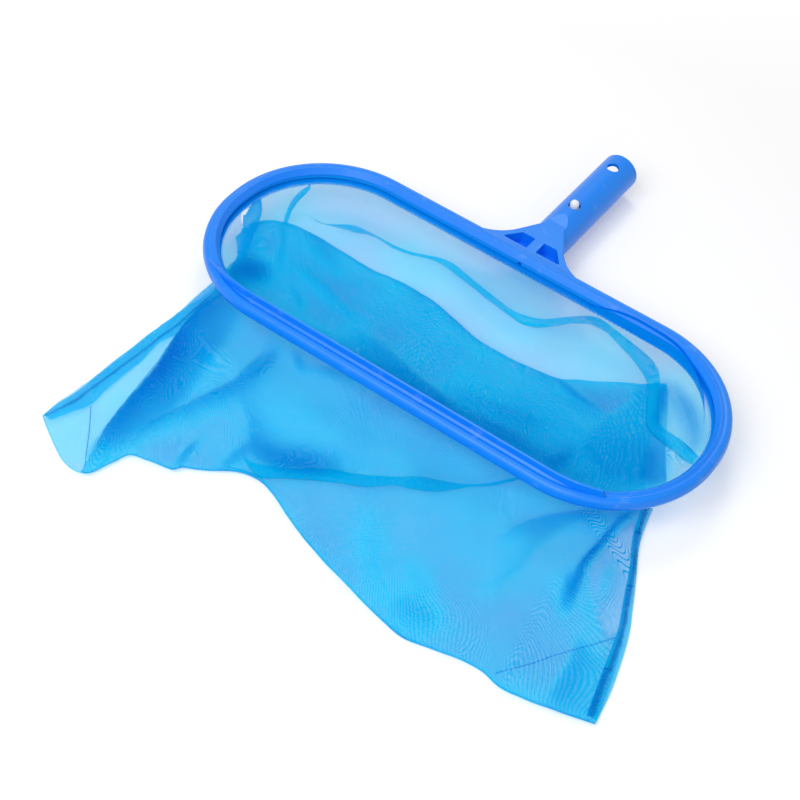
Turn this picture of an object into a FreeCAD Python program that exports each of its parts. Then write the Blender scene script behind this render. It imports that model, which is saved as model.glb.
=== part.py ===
import FreeCAD
import Part

import math
import os

# Leaf skimmer head: a moulded loop with a spigot for a pole, a raised scoop lip on its front rail,
# a sewn mesh bag held in the loop's inner groove, and a sprung two-button lock clip in the spigot.
# Millimetres, +Z up. The origin is on the spigot's axis, at its open end, where the full diameter
# starts behind the rounded rim. The pole slides on along -Y. The loop lies level in front of the
# spigot, and the bag is laid forward on the floor, just under the lower lock button.

V = FreeCAD.Vector

# Spigot that fits inside a 31.75 mm pole tube
SPIGOT_DIAMETER = 28.5
SPIGOT_WALL = 2.6
SPIGOT_LENGTH = 98.5
SPIGOT_RIM_ROUND = 0.6
BORE_BEYOND_CLIP = 3.0
BORE_END_ROUND = 1.5
NOSE_WALL = 1.8
NOSE_BEYOND_BORE = 8.0
NOSE_DIAMETER = 18.0
NOSE_ROUND = 2.0
LOCK_HOLE_DIAMETER = 9.4
SPARE_HOLE_FROM_END = 16.0
BUTTON_FROM_END = 72.0

# Loop of the moulding, measured over the rail's outer edge
LOOP_LENGTH = 396.0
LOOP_WIDTH = 173.5
LOOP_END_STRAIGHT = 5.1
AXIS_BELOW_RAIL = 11.7

# Section of the rail: offsets outward from its middle line, and heights above its middle
RAIL_WIDTH = 12.0
RAIL_HEIGHT = 12.0
RIDGE_OFFSET = 1.3
RIDGE_HEIGHT = 4.3
RIDGE_ROUND = 0.8
SHOULDER_OFFSET = 4.9
SHOULDER_HEIGHT = 3.0
SHOULDER_ROUND = 3.5
SIDE_HEIGHT = -1.5
SIDE_ROUND = 2.5
CHIN_INSET = 0.6
CHIN_HEIGHT = -4.4
KEEL_OFFSET = 1.5
KEEL_ROUND = 3.0
INNER_LEAN = 0.4
INNER_FOOT_ROUND = 0.8
VALLEY_OFFSET = -0.4
VALLEY_HEIGHT = 3.7
VALLEY_ROUND = 0.9
INNER_TOP_OFFSET = -2.6
INNER_TOP_HEIGHT = 5.1
INNER_TOP_ROUND = 0.7
INNER_NOSE_HEIGHT = 0.9
INNER_NOSE_INSET = 0.1
INNER_NOSE_ROUND = 1.0

# Groove in the rail's inner side that holds the hem of the bag
GROOVE_HEIGHT = 4.0
GROOVE_DEPTH = 5.2
GROOVE_ROOF_BELOW_MIDDLE = 0.2
GROOVE_EDGE_ROUND = 0.4
GROOVE_WALL_ROUND = 0.3

# Web between the rail and the spigot, with two blind pockets in its level top
WEB_FLARE_RADIUS = 37.0
WEB_INSET = 0.4
WEB_TOP_HEIGHT = 0.4
WEB_THICKNESS = 12.0
WEB_TAPER_SLOPE = 0.6
WEB_UNDER_RAIL = 3.5
WEB_EDGE_ROUND = 1.2
FAIRING_LENGTH = 10.0
POCKET_RIB = 7.6
POCKET_NEAR_LENGTH = 20.2
POCKET_FAR_LENGTH = 10.6
POCKET_WIDTH = 12.2
POCKET_FROM_RAIL = 3.8
POCKET_DEPTH = 9.5
POCKET_ROUND = 1.0

# Scoop lip on the front rail: straight in the middle, with bends wider than the rail's
LIP_HEIGHT = 10.2
LIP_THICKNESS = 1.5
LIP_INSET = 2.9
LIP_SEAT_DEPTH = 2.4
LIP_BEND_WIDER = 15.8
LIP_BEND_BEYOND_CORNER = 4.2
LIP_LEFT_FROM_END = 33.0
LIP_LEFT_RAMP = 19.0
LIP_RIGHT_FROM_END = 41.5
LIP_RIGHT_CHAMFER = 2.5
LIP_EDGE_BEVEL = 0.4

# Hem of the bag in the groove
FABRIC = 1.0
HEM_THICKNESS = 0.8
HEM_DROP = 7.8
HEM_CLEARANCE = 0.4
HEM_FOLD_ROUND = 0.5
HEM_EDGE_ROUND = 0.3
HEM_STITCH_DROP = 3.0
BEAD_WIDTH = 3.6
BEAD_CLEARANCE = 0.2
BEAD_TOP_ROUND = 1.0
BEAD_FOOT_ROUND = 0.5
BEAD_JOINT_GAP = 3.0
STITCH = 0.6

# Bag, and the seams that close its sides
BAG_REACH = 169.0
SEAM_BEHIND_MIDDLE = 12.0
SEAM_GAP = 4.0
LAYER_PITCH = 2.2
BACK_DROP_INSET = 16.0
FRONT_DROP_INSET = 2.0
BAG_GAP = 0.4
BINDING_WIDTH = 7.0
BINDING_THICKNESS = 2.8
BINDING_LIFT = 1.0
SEAM_STITCH_INSET = 4.0
SEAM_STITCH_SHARES = (0.03, 0.3, 0.65)
CORNER_STITCH_ALONG_SEAM = 0.16
CORNER_STITCH_ALONG_BOTTOM = 0.15

# The next two lists have one station each, from the left seam to the right one
# Bottom edge of the bag: share of the loop's half length, and share of the bag's reach past the front rail
BOTTOM_EDGE = [
    (-0.835, 0.80),
    (-0.65, 1.0),
    (-0.55, 0.72),
    (-0.33, 0.61),
    (-0.14, 0.54),
    (0.12, 0.65),
    (0.50, 0.75),
    (0.84, 0.70),
    (1.11, 0.60),
]
# Edge of the slack folded back inside the loop: share of the loop's half length and of its half width
FOLD_EDGE = [
    (-0.89, 0.05),
    (-0.78, 0.19),
    (-0.60, 0.22),
    (-0.35, 0.24),
    (-0.10, 0.18),
    (0.16, 0.13),
    (0.40, 0.22),
    (0.64, 0.52),
    (0.88, 0.10),
]
# How the mesh is spread between its hems and folds, as shares of the stretch between two of them
HANG_SHARE = 0.15
LAND_SHARE = 0.5
SPREAD_SHARE = 0.4
FOLD_SHARE = 0.1
CREASE_SHARE = 0.04
MIDDLE_SHARE = 0.6
RISE_SHARE = 0.25

# Lock clip
BUTTON_DIAMETER = 6.6
BUTTON_PROUD = 4.4
BUTTON_ABOVE_FLOOR = 0.2
BUTTON_FLANGE = 9.0
BUTTON_FLANGE_THICKNESS = 1.1
FLANGE_GAP = 0.2
STEM_DIAMETER = 2.9
STEM_CLEARANCE = 0.05
RIVET_DIAMETER = 4.6
RIVET_HEIGHT = 0.8
STRIP_THICKNESS = 0.9
STRIP_WIDTH = 8.0
BOW_RADIUS = 3.4
BOW_GAP = 0.15
LEG_LENGTH = 38.0
PAD_LENGTH = 14.0

# Places worked out from the sizes above
SPIGOT_RADIUS = SPIGOT_DIAMETER / 2
BORE_RADIUS = SPIGOT_RADIUS - SPIGOT_WALL
BUTTON_Y = -BUTTON_FROM_END
HINGE_Y = BUTTON_Y - LEG_LENGTH
BORE_END_Y = HINGE_Y - BOW_RADIUS - STRIP_THICKNESS / 2 - BORE_BEYOND_CLIP
ROOT_Y = -SPIGOT_LENGTH
WEB_LINE_Y = ROOT_Y - WEB_FLARE_RADIUS
LOOP_Y = WEB_LINE_Y + WEB_INSET - LOOP_WIDTH / 2
LOOP_Z = AXIS_BELOW_RAIL
HALF_LENGTH = LOOP_LENGTH / 2
HALF_WIDTH = LOOP_WIDTH / 2
RAIL_HALF = RAIL_WIDTH / 2
RAIL_DOWN = RAIL_HEIGHT / 2
CORNER_Y = LOOP_END_STRAIGHT / 2
CORNER_RADIUS = HALF_WIDTH - CORNER_Y
CORNER_X = HALF_LENGTH - CORNER_RADIUS
RAIL_RADIUS = CORNER_RADIUS - RAIL_HALF
LIP_BEND_RADIUS = CORNER_RADIUS + LIP_BEND_WIDER
GROOVE_ROOF = -GROOVE_ROOF_BELOW_MIDDLE
GROOVE_FLOOR = GROOVE_ROOF - GROOVE_HEIGHT
GROOVE_WALL = -RAIL_HALF + GROOVE_DEPTH
HEM_INNER = -RAIL_HALF - HEM_CLEARANCE - HEM_THICKNESS
HEM_OUTER = -RAIL_HALF - HEM_CLEARANCE
HEM_BOTTOM = GROOVE_FLOOR - HEM_DROP
HEM_LINE = (HEM_INNER + HEM_OUTER) / 2
FLANGE_TOP = math.sqrt(BORE_RADIUS**2 - (BUTTON_FLANGE / 2) ** 2) - FLANGE_GAP
PAD_TOP = FLANGE_TOP - BUTTON_FLANGE_THICKNESS
BUTTON_TIP = SPIGOT_RADIUS + BUTTON_PROUD
FLOOR_Z = -BUTTON_TIP - BUTTON_ABOVE_FLOOR
LAST_STATION = len(BOTTOM_EDGE) - 1
BACK_LAYER_Z = FLOOR_Z + FABRIC / 2
FRONT_LAYER_Z = BACK_LAYER_Z + LAYER_PITCH
SLACK_LAYER_Z = FRONT_LAYER_Z + LAYER_PITCH
HEM_Z = LOOP_Z + HEM_BOTTOM - BAG_GAP
OVERSIZE = 2 * LOOP_LENGTH
TINY = 1e-6


def rounded_wire(corners, place):
    """Closed wire through corners (a, b, radius), each rounded by its radius, or less where its sides
    are short. place(a, b) gives the point."""
    count = len(corners)
    edges = []
    previous = None
    first = None
    for i in range(count):
        a, b, radius = corners[i]
        before_a, before_b, _ = corners[i - 1]
        after_a, after_b, _ = corners[(i + 1) % count]
        length_before = math.hypot(before_a - a, before_b - b)
        length_after = math.hypot(after_a - a, after_b - b)
        ux, uy = (before_a - a) / length_before, (before_b - b) / length_before
        vx, vy = (after_a - a) / length_after, (after_b - b) / length_after
        half = math.acos(max(-1.0, min(1.0, ux * vx + uy * vy))) / 2
        cut = min(radius / math.tan(half), 0.48 * length_before, 0.48 * length_after)
        start = (a + ux * cut, b + uy * cut)
        end = (a + vx * cut, b + vy * cut)
        if previous is not None:
            edges.append(Part.LineSegment(place(*previous), place(*start)).toShape())
        if cut > TINY:
            reach = cut / math.cos(half) - cut * math.tan(half)
            bx, by = ux + vx, uy + vy
            size = math.hypot(bx, by)
            middle = (a + bx / size * reach, b + by / size * reach)
            edges.append(Part.Arc(place(*start), place(*middle), place(*end)).toShape())
        if first is None:
            first = start
        previous = end
    edges.append(Part.LineSegment(place(*previous), place(*first)).toShape())
    return Part.Wire(edges)


def ring_pieces(corners):
    """Bends and runs, face to face, swept round the loop. corners (u, w, radius) are their section, u
    outward from the rail's middle line."""
    face = Part.Face(rounded_wire(corners, lambda u, w: V(RAIL_RADIUS + u, 0, w)))
    pieces = []
    signs = [(1, 1), (-1, 1), (-1, -1), (1, -1)]
    runs = [2 * CORNER_X, 2 * CORNER_Y, 2 * CORNER_X, 2 * CORNER_Y]
    for k, (sx, sy) in enumerate(signs):
        centre = V(sx * CORNER_X, LOOP_Y + sy * CORNER_Y, LOOP_Z)
        start = face.copy()
        start.rotate(V(0, 0, 0), V(0, 0, 1), 90 * k)
        start.translate(centre)
        pieces.append(start.revolve(centre, V(0, 0, 1), 90))
        end = face.copy()
        end.rotate(V(0, 0, 0), V(0, 0, 1), 90 * (k + 1))
        end.translate(centre)
        along = math.radians(90 * (k + 2))
        pieces.append(end.extrude(V(math.cos(along), math.sin(along), 0) * runs[k]))
    return pieces


def ring_solid(corners):
    """Solid swept round the loop, with the same section as its pieces."""
    pieces = ring_pieces(corners)
    return pieces[0].multiFuse(pieces[1:]).removeSplitter()


def ring_point(inward, length):
    """Point (x, y) on the loop's plan, inward of the rail's middle line. length starts at the left
    end's middle and runs round the back."""
    radius = RAIL_RADIUS - inward
    half_round = 2 * CORNER_Y + 2 * CORNER_X + math.pi * radius
    if length < 0:
        x, y = ring_point(inward, -length)
        return x, -y
    if length > half_round:
        x, y = ring_point(inward, 2 * half_round - length)
        return x, -y
    if length <= CORNER_Y:
        return -CORNER_X - radius, length
    length -= CORNER_Y
    if length <= radius * math.pi / 2:
        angle = length / radius
        return -CORNER_X - radius * math.cos(angle), CORNER_Y + radius * math.sin(angle)
    length -= radius * math.pi / 2
    if length <= 2 * CORNER_X:
        return -CORNER_X + length, CORNER_Y + radius
    length -= 2 * CORNER_X
    if length <= radius * math.pi / 2:
        angle = length / radius
        return CORNER_X + radius * math.sin(angle), CORNER_Y + radius * math.cos(angle)
    length -= radius * math.pi / 2
    return CORNER_X + radius, CORNER_Y - length


def hem_point(share, side, inward):
    """Point (x, y) under the hem, share 0 at the left seam and 1 at the right one, round the back (side 1)
    or the front (side -1)."""
    radius = RAIL_RADIUS - inward
    half_round = 2 * CORNER_Y + 2 * CORNER_X + math.pi * radius
    start = side * (SEAM_BEHIND_MIDDLE + side * SEAM_GAP / 2)
    x, y = ring_point(inward, start + share * (half_round - 2 * start))
    return x, LOOP_Y + side * y


def rail_section():
    """Corners of the rail's section, from its ridge round the outside and underside to the groove."""
    return [
        (RIDGE_OFFSET, RIDGE_HEIGHT, RIDGE_ROUND),
        (SHOULDER_OFFSET, SHOULDER_HEIGHT, SHOULDER_ROUND),
        (RAIL_HALF, SIDE_HEIGHT, SIDE_ROUND),
        (RAIL_HALF - CHIN_INSET, CHIN_HEIGHT, SIDE_ROUND),
        (KEEL_OFFSET, -RAIL_DOWN, KEEL_ROUND),
        (-RAIL_HALF + INNER_LEAN, -RAIL_DOWN, INNER_FOOT_ROUND),
        (-RAIL_HALF, GROOVE_FLOOR, GROOVE_EDGE_ROUND),
        (GROOVE_WALL, GROOVE_FLOOR, GROOVE_WALL_ROUND),
        (GROOVE_WALL, GROOVE_ROOF, GROOVE_WALL_ROUND),
        (-RAIL_HALF, GROOVE_ROOF, GROOVE_EDGE_ROUND),
        (-RAIL_HALF + INNER_NOSE_INSET, INNER_NOSE_HEIGHT, INNER_NOSE_ROUND),
        (INNER_TOP_OFFSET, INNER_TOP_HEIGHT, INNER_TOP_ROUND),
        (VALLEY_OFFSET, VALLEY_HEIGHT, VALLEY_ROUND),
    ]


def flare_point(side, angle, z):
    """Point of the web's flare on one side, angle 0 beside the spigot's root, a right angle at the rail."""
    out = SPIGOT_RADIUS + WEB_FLARE_RADIUS * (1 - math.cos(angle))
    return V(side * out, ROOT_Y - WEB_FLARE_RADIUS * math.sin(angle), z)


def apex_point(z):
    """Where the web's straight tapers close over the spigot."""
    turn = flare_point(1, math.atan(WEB_TAPER_SLOPE), z)
    return V(0, turn.y + turn.x / WEB_TAPER_SLOPE, z)


def web():
    """Flared plate with a level top. Its sides leave the flare on a straight taper that closes over the
    spigot."""
    bottom = LOOP_Z + WEB_TOP_HEIGHT - WEB_THICKNESS
    top = bottom + WEB_THICKNESS
    turn_angle = math.atan(WEB_TAPER_SLOPE)
    half_way = (math.pi / 2 + turn_angle) / 2
    out = SPIGOT_RADIUS + WEB_FLARE_RADIUS
    inside_y = WEB_LINE_Y - WEB_UNDER_RAIL
    edges = [Part.LineSegment(V(-out, inside_y, bottom), V(out, inside_y, bottom)).toShape()]
    for side in (-1, 1):
        foot = V(side * out, WEB_LINE_Y, bottom)
        turn = flare_point(side, turn_angle, bottom)
        edges.append(Part.LineSegment(V(side * out, inside_y, bottom), foot).toShape())
        edges.append(Part.Arc(foot, flare_point(side, half_way, bottom), turn).toShape())
        edges.append(Part.LineSegment(turn, apex_point(bottom)).toShape())
    plate = Part.Face(Part.Wire(Part.__sortEdges__(edges))).extrude(V(0, 0, WEB_THICKNESS))
    rims = []
    for edge in plate.Edges:
        box = edge.BoundBox
        on_top = box.ZMin > top - TINY
        if on_top and box.YLength > WEB_UNDER_RAIL and box.XLength > TINY:
            rims.append(edge)
    return plate.makeFillet(WEB_EDGE_ROUND, rims)


def fairing_cut():
    """What is taken off the spigot's top, level with the web and then up a slope to the full round."""
    level = LOOP_Z + WEB_TOP_HEIGHT
    rise = SPIGOT_RADIUS - level
    start_y = WEB_LINE_Y - RAIL_WIDTH
    end_y = apex_point(level).y
    profile = [
        V(-OVERSIZE, start_y, level),
        V(-OVERSIZE, end_y - FAIRING_LENGTH, level),
        V(-OVERSIZE, end_y + FAIRING_LENGTH, level + 2 * rise),
        V(-OVERSIZE, end_y + FAIRING_LENGTH, 2 * SPIGOT_DIAMETER),
        V(-OVERSIZE, start_y, 2 * SPIGOT_DIAMETER),
    ]
    return Part.Face(Part.makePolygon(profile + profile[:1])).extrude(V(2 * OVERSIZE, 0, 0))


def pockets():
    """Two blind trapezoid pockets in the top of the web, one each side of a middle rib."""
    near = WEB_LINE_Y + WEB_INSET + POCKET_FROM_RAIL
    far = near + POCKET_WIDTH
    floor = LOOP_Z + WEB_TOP_HEIGHT - POCKET_DEPTH
    cutters = []
    for side in (-1, 1):
        inner = side * POCKET_RIB / 2
        corners = [
            (inner, near, POCKET_ROUND),
            (inner + side * POCKET_NEAR_LENGTH, near, POCKET_ROUND),
            (inner + side * POCKET_FAR_LENGTH, far, POCKET_ROUND),
            (inner, far, POCKET_ROUND),
        ]
        wire = rounded_wire(corners, lambda x, y: V(x, y, floor))
        cutters.append(Part.Face(wire).extrude(V(0, 0, 2 * POCKET_DEPTH)))
    return cutters


def spigot():
    """Round tube with a blind bore, which tapers from its root to a nose under the web."""
    nose_end = BORE_END_Y - NOSE_BEYOND_BORE
    corners = [
        (0, nose_end, 0),
        (NOSE_DIAMETER / 2, nose_end, NOSE_ROUND),
        (BORE_RADIUS + NOSE_WALL, BORE_END_Y, NOSE_ROUND),
        (SPIGOT_RADIUS, ROOT_Y, 0),
        (SPIGOT_RADIUS, SPIGOT_RIM_ROUND, SPIGOT_RIM_ROUND),
        (BORE_RADIUS, SPIGOT_RIM_ROUND, SPIGOT_RIM_ROUND),
        (BORE_RADIUS, BORE_END_Y, BORE_END_ROUND),
        (0, BORE_END_Y, 0),
    ]
    wire = rounded_wire(corners, lambda r, y: V(r, y, 0))
    return Part.Face(wire).revolve(V(0, 0, 0), V(0, 1, 0), 360).cut(fairing_cut())


def frame_moulding(lip):
    """Rail, web and spigot in one piece, with the spigot's bore, its cross holes and the seat of the lip."""
    bore_start = BORE_END_Y + BORE_END_ROUND
    bore = Part.makeCylinder(BORE_RADIUS, -bore_start, V(0, bore_start, 0), V(0, 1, 0))
    body = ring_solid(rail_section()).fuse([web(), spigot()])
    body = body.cut([bore] + pockets())
    holes = []
    for y in (-SPARE_HOLE_FROM_END, BUTTON_Y):
        through = V(0, y, -SPIGOT_DIAMETER)
        holes.append(Part.makeCylinder(LOCK_HOLE_DIAMETER / 2, 2 * SPIGOT_DIAMETER, through))
    return body.cut(holes + [lip]).removeSplitter()


def front_lip():
    """Blade seated in the front rail's top. It ramps up out of the left bend and ends in a step on the
    right."""
    straight = CORNER_X + LIP_BEND_BEYOND_CORNER
    line_y = LOOP_Y - (HALF_WIDTH - RAIL_HALF) + LIP_INSET
    low = LOOP_Z + LIP_SEAT_DEPTH
    high = LOOP_Z + LIP_HEIGHT
    half = LIP_THICKNESS / 2
    corners = [
        (-half, low, 0),
        (half, low, 0),
        (half, high - LIP_EDGE_BEVEL, 0),
        (half - LIP_EDGE_BEVEL, high, 0),
        (LIP_EDGE_BEVEL - half, high, 0),
        (-half, high - LIP_EDGE_BEVEL, 0),
    ]
    wire = rounded_wire(corners, lambda v, z: V(0, line_y + v, z))
    pieces = []
    left_x = LIP_LEFT_FROM_END - HALF_LENGTH
    right_x = HALF_LENGTH - LIP_RIGHT_FROM_END
    for end, side in ((left_x, -1), (right_x, 1)):
        face = Part.Face(wire)
        face.translate(V(side * straight, 0, 0))
        centre = V(side * straight, line_y + LIP_BEND_RADIUS, 0)
        turn = math.degrees(math.asin((abs(end) - straight) / LIP_BEND_RADIUS))
        pieces.append(face.revolve(centre, V(0, 0, side), turn))
    face = Part.Face(wire)
    face.translate(V(-straight, 0, 0))
    blade = face.extrude(V(2 * straight, 0, 0)).fuse(pieces).removeSplitter()
    above = high + RAIL_HEIGHT
    for end, run, inward in ((left_x, LIP_LEFT_RAMP, 1), (right_x, LIP_RIGHT_CHAMFER, -1)):
        start = LOOP_Z + VALLEY_HEIGHT
        slope = run / (high - start)
        ramp = [
            V(end - inward * RAIL_WIDTH, -OVERSIZE, start),
            V(end, -OVERSIZE, start),
            V(end + inward * slope * (above - start), -OVERSIZE, above),
            V(end - inward * RAIL_WIDTH, -OVERSIZE, above),
        ]
        blade = blade.cut(Part.Face(Part.makePolygon(ramp + ramp[:1])).extrude(V(0, 2 * OVERSIZE, 0)))
    return blade


def hem_band():
    """Folded hem: a flange in the groove and a skirt hanging down inside the rail, in runs and bends that
    meet face to face."""
    top = GROOVE_FLOOR + HEM_THICKNESS
    section = [
        (GROOVE_WALL - HEM_CLEARANCE, GROOVE_FLOOR, 0),
        (GROOVE_WALL - HEM_CLEARANCE, top, 0),
        (HEM_INNER, top, HEM_FOLD_ROUND),
        (HEM_INNER, HEM_BOTTOM, HEM_EDGE_ROUND),
        (HEM_OUTER, HEM_BOTTOM, HEM_EDGE_ROUND),
        (HEM_OUTER, GROOVE_FLOOR, 0),
    ]
    return Part.makeCompound(ring_pieces(section))


def retaining_bead():
    """Cord pressed into the groove over the hem, open at its joint in the middle of the back rail."""
    low = GROOVE_FLOOR + HEM_THICKNESS
    high = GROOVE_ROOF - BEAD_CLEARANCE
    outer = GROOVE_WALL - HEM_CLEARANCE
    ring = ring_solid(
        [
            (outer, low, BEAD_FOOT_ROUND),
            (outer, high, BEAD_TOP_ROUND),
            (outer - BEAD_WIDTH, high, BEAD_TOP_ROUND),
            (outer - BEAD_WIDTH, low, BEAD_FOOT_ROUND),
        ]
    )
    gap_corner = V(-BEAD_JOINT_GAP / 2, LOOP_Y, LOOP_Z - RAIL_HEIGHT)
    return ring.cut(Part.makeBox(BEAD_JOINT_GAP, LOOP_WIDTH, 2 * RAIL_HEIGHT, gap_corner))


def hem_stitch():
    """Thread that runs round the hem, on its inner face."""
    low = GROOVE_FLOOR - HEM_STITCH_DROP
    return ring_solid(
        [
            (HEM_INNER, low, 0),
            (HEM_INNER, low + STITCH, 0),
            (HEM_INNER - STITCH / 2, low + STITCH, 0),
            (HEM_INNER - STITCH / 2, low, 0),
        ]
    )


def bottom_point(i):
    """Point (x, y) of the bag's bottom edge at one station."""
    share, reach = BOTTOM_EDGE[i]
    return share * HALF_LENGTH, LOOP_Y - HALF_WIDTH - reach * BAG_REACH


def fold_point(i):
    """Point (x, y) of the folded-back slack's edge at one station."""
    share, back = FOLD_EDGE[i]
    return share * HALF_LENGTH, LOOP_Y + back * HALF_WIDTH


def mix(p, q, t):
    """Point (x, y) at share t of the way from p to q."""
    return p[0] + (q[0] - p[0]) * t, p[1] + (q[1] - p[1]) * t


def bag_station(i):
    """Control points of the mesh at one station, from the back hem round the bottom to the front hem."""
    share = i / LAST_STATION
    bottom = bottom_point(i)
    fold = fold_point(i)
    back_hem = hem_point(share, 1, -HEM_LINE)
    back_foot = hem_point(share, 1, -HEM_LINE + BACK_DROP_INSET)
    front_hem = hem_point(share, -1, -HEM_LINE)
    front_drop = hem_point(share, -1, -HEM_LINE + FRONT_DROP_INSET)
    drop = HEM_Z - SLACK_LAYER_Z
    rows = [
        (*back_hem, HEM_Z),
        (*mix(back_hem, back_foot, HANG_SHARE), HEM_Z - drop * LAND_SHARE),
        (*mix(back_hem, back_foot, LAND_SHARE), BACK_LAYER_Z),
        (*back_foot, BACK_LAYER_Z),
        (*mix(back_foot, bottom, SPREAD_SHARE), BACK_LAYER_Z),
        (*mix(bottom, back_foot, FOLD_SHARE), BACK_LAYER_Z),
        (*bottom, BACK_LAYER_Z),
        (*bottom, FRONT_LAYER_Z),
        (*mix(bottom, fold, FOLD_SHARE), FRONT_LAYER_Z),
        (*mix(bottom, fold, MIDDLE_SHARE), FRONT_LAYER_Z),
        (*mix(fold, bottom, CREASE_SHARE), FRONT_LAYER_Z),
        (*fold, FRONT_LAYER_Z),
        (*fold, SLACK_LAYER_Z),
        (*mix(fold, front_hem, FOLD_SHARE), SLACK_LAYER_Z),
        (*mix(fold, front_hem, MIDDLE_SHARE), SLACK_LAYER_Z + drop * RISE_SHARE),
        (*front_drop, HEM_Z - drop * RISE_SHARE),
        (*front_hem, HEM_Z),
    ]
    return [V(*p) for p in rows]


def clamped_knots(count, degree):
    """Knots and multiplicities of a clamped spline with count control points."""
    spans = count - degree
    knots = [float(k) for k in range(spans + 1)]
    mults = [degree + 1] + [1] * (spans - 1) + [degree + 1]
    return knots, mults


def spline_surface(poles, across, along):
    """Spline surface with these control points, of degree across and along."""
    u_knots, u_mults = clamped_knots(len(poles), across)
    v_knots, v_mults = clamped_knots(len(poles[0]), along)
    surface = Part.BSplineSurface()
    degrees = (across, along)
    surface.buildFromPolesMultsKnots(poles, u_mults, v_mults, u_knots, v_knots, False, False, *degrees)
    return surface


def offset_net(poles, distance):
    """The control net moved sideways by distance, mitred where it folds."""
    moved = []
    for i, row in enumerate(poles):
        before = poles[max(i - 1, 0)]
        after = poles[min(i + 1, len(poles) - 1)]
        normals = []
        for j in range(len(row) - 1):
            edge = row[j + 1] - row[j]
            sideways = (after[j] + after[j + 1]) - (before[j] + before[j + 1])
            normals.append(sideways.cross(edge).normalize())
        new_row = []
        for j, point in enumerate(row):
            first = normals[max(j - 1, 0)]
            second = normals[min(j, len(normals) - 1)]
            mitre = (first + second) * (1 / max(0.5, 1 + first.dot(second)))
            new_row.append(point + mitre * distance)
        moved.append(new_row)
    return moved


def sheet_solid(poles, thickness, across, along):
    """Closed thin solid about a control net."""
    skins = []
    for side in (-1, 1):
        skins.append(spline_surface(offset_net(poles, side * thickness / 2), across, along))
    faces = [skin.toShape() for skin in skins]
    u0, u1, v0, v1 = skins[0].bounds()
    for at_u, value in ((True, u0), (True, u1), (False, v0), (False, v1)):
        borders = [(skin.uIso(value) if at_u else skin.vIso(value)).toShape() for skin in skins]
        faces.append(Part.makeRuledSurface(borders[0], borders[1]))
    sewn = Part.makeCompound(faces)
    sewn.sewShape()
    shell = sewn.Shells[0]
    if Part.Solid(shell).Volume < 0:
        shell.reverse()
    return Part.Solid(shell)


def mesh_bag():
    """One sheet of mesh: down from the back hem, forward to the bottom fold, back under the loop, folded
    over and up to the front hem."""
    poles = [bag_station(i) for i in range(len(BOTTOM_EDGE))]
    return sheet_solid(poles, FABRIC, 2, 2)


def end_station(side):
    """Index of the station at the left seam (side -1) or at the right one (side 1)."""
    return 0 if side < 0 else LAST_STATION


def seam_path(side):
    """Plan points of one side edge, from the bottom corner to the hem."""
    i = end_station(side)
    bottom = bottom_point(i)
    fold = fold_point(i)
    hem = hem_point(i / LAST_STATION, -1, -HEM_LINE)
    return [bottom, mix(bottom, fold, FOLD_SHARE), mix(bottom, fold, MIDDLE_SHARE), fold, hem]


def side_seam(side):
    """Binding that closes one side of the bag, just outside the edges of the mesh."""
    z = (BACK_LAYER_Z + FRONT_LAYER_Z) / 2
    heights = [z, z, z, z + BINDING_LIFT, HEM_Z - BINDING_THICKNESS]
    poles = []
    for offset in (BAG_GAP, BAG_GAP + BINDING_WIDTH):
        column = []
        for (x, y), height in zip(seam_path(side), heights):
            column.append(V(x + side * offset, y, height))
        poles.append(column)
    return sheet_solid(poles, BINDING_THICKNESS, 1, 2)


def thread(points, z):
    """Flat thread laid through plan points, its underside at height z."""
    pieces = []
    for (x0, y0), (x1, y1) in zip(points, points[1:]):
        length = math.hypot(x1 - x0, y1 - y0)
        run = Part.makeBox(length, STITCH, STITCH / 2, V(0, -STITCH / 2, 0))
        run.rotate(V(0, 0, 0), V(0, 0, 1), math.degrees(math.atan2(y1 - y0, x1 - x0)))
        run.translate(V(x0, y0, z))
        pieces.append(run)
        pieces.append(Part.makeCylinder(STITCH / 2, STITCH / 2, V(x1, y1, z)))
    return pieces[0].multiFuse(pieces[1:]).removeSplitter()


def corner_stitch(side):
    """Row of thread that closes off one bottom corner of the bag."""
    corner = bottom_point(end_station(side))
    seam = mix(corner, fold_point(end_station(side)), CORNER_STITCH_ALONG_SEAM)
    along = mix(corner, bottom_point(end_station(-side)), CORNER_STITCH_ALONG_BOTTOM)
    inset = SEAM_STITCH_INSET + 2 * STITCH
    ends = [(seam[0] - side * inset, seam[1]), (along[0], along[1] + 2 * SEAM_STITCH_INSET)]
    return thread(ends, FRONT_LAYER_Z + FABRIC / 2)


def seam_stitch(side):
    """Row of thread beside one side seam, from near the bottom corner to under the loop."""
    bottom = bottom_point(end_station(side))
    fold = fold_point(end_station(side))
    points = []
    for t in SEAM_STITCH_SHARES:
        x, y = mix(bottom, fold, t)
        points.append((x - side * SEAM_STITCH_INSET, y))
    return thread(points, FRONT_LAYER_Z + FABRIC / 2)


def clip_strip(points):
    """Spring strip through (y, z) points, as wide as the clip."""
    half = STRIP_THICKNESS / 2
    normals = []
    for (y0, z0), (y1, z1) in zip(points, points[1:]):
        length = math.hypot(y1 - y0, z1 - z0)
        normals.append(((z0 - z1) / length, (y1 - y0) / length))
    upper, lower = [], []
    for k, (y, z) in enumerate(points):
        first = normals[max(k - 1, 0)]
        second = normals[min(k, len(normals) - 1)]
        scale = half / (1 + first[0] * second[0] + first[1] * second[1])
        my, mz = (first[0] + second[0]) * scale, (first[1] + second[1]) * scale
        upper.append(V(-STRIP_WIDTH / 2, y + my, z + mz))
        lower.append(V(-STRIP_WIDTH / 2, y - my, z - mz))
    outline = upper + lower[::-1]
    return Part.Face(Part.makePolygon(outline + outline[:1])).extrude(V(STRIP_WIDTH, 0, 0))


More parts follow.
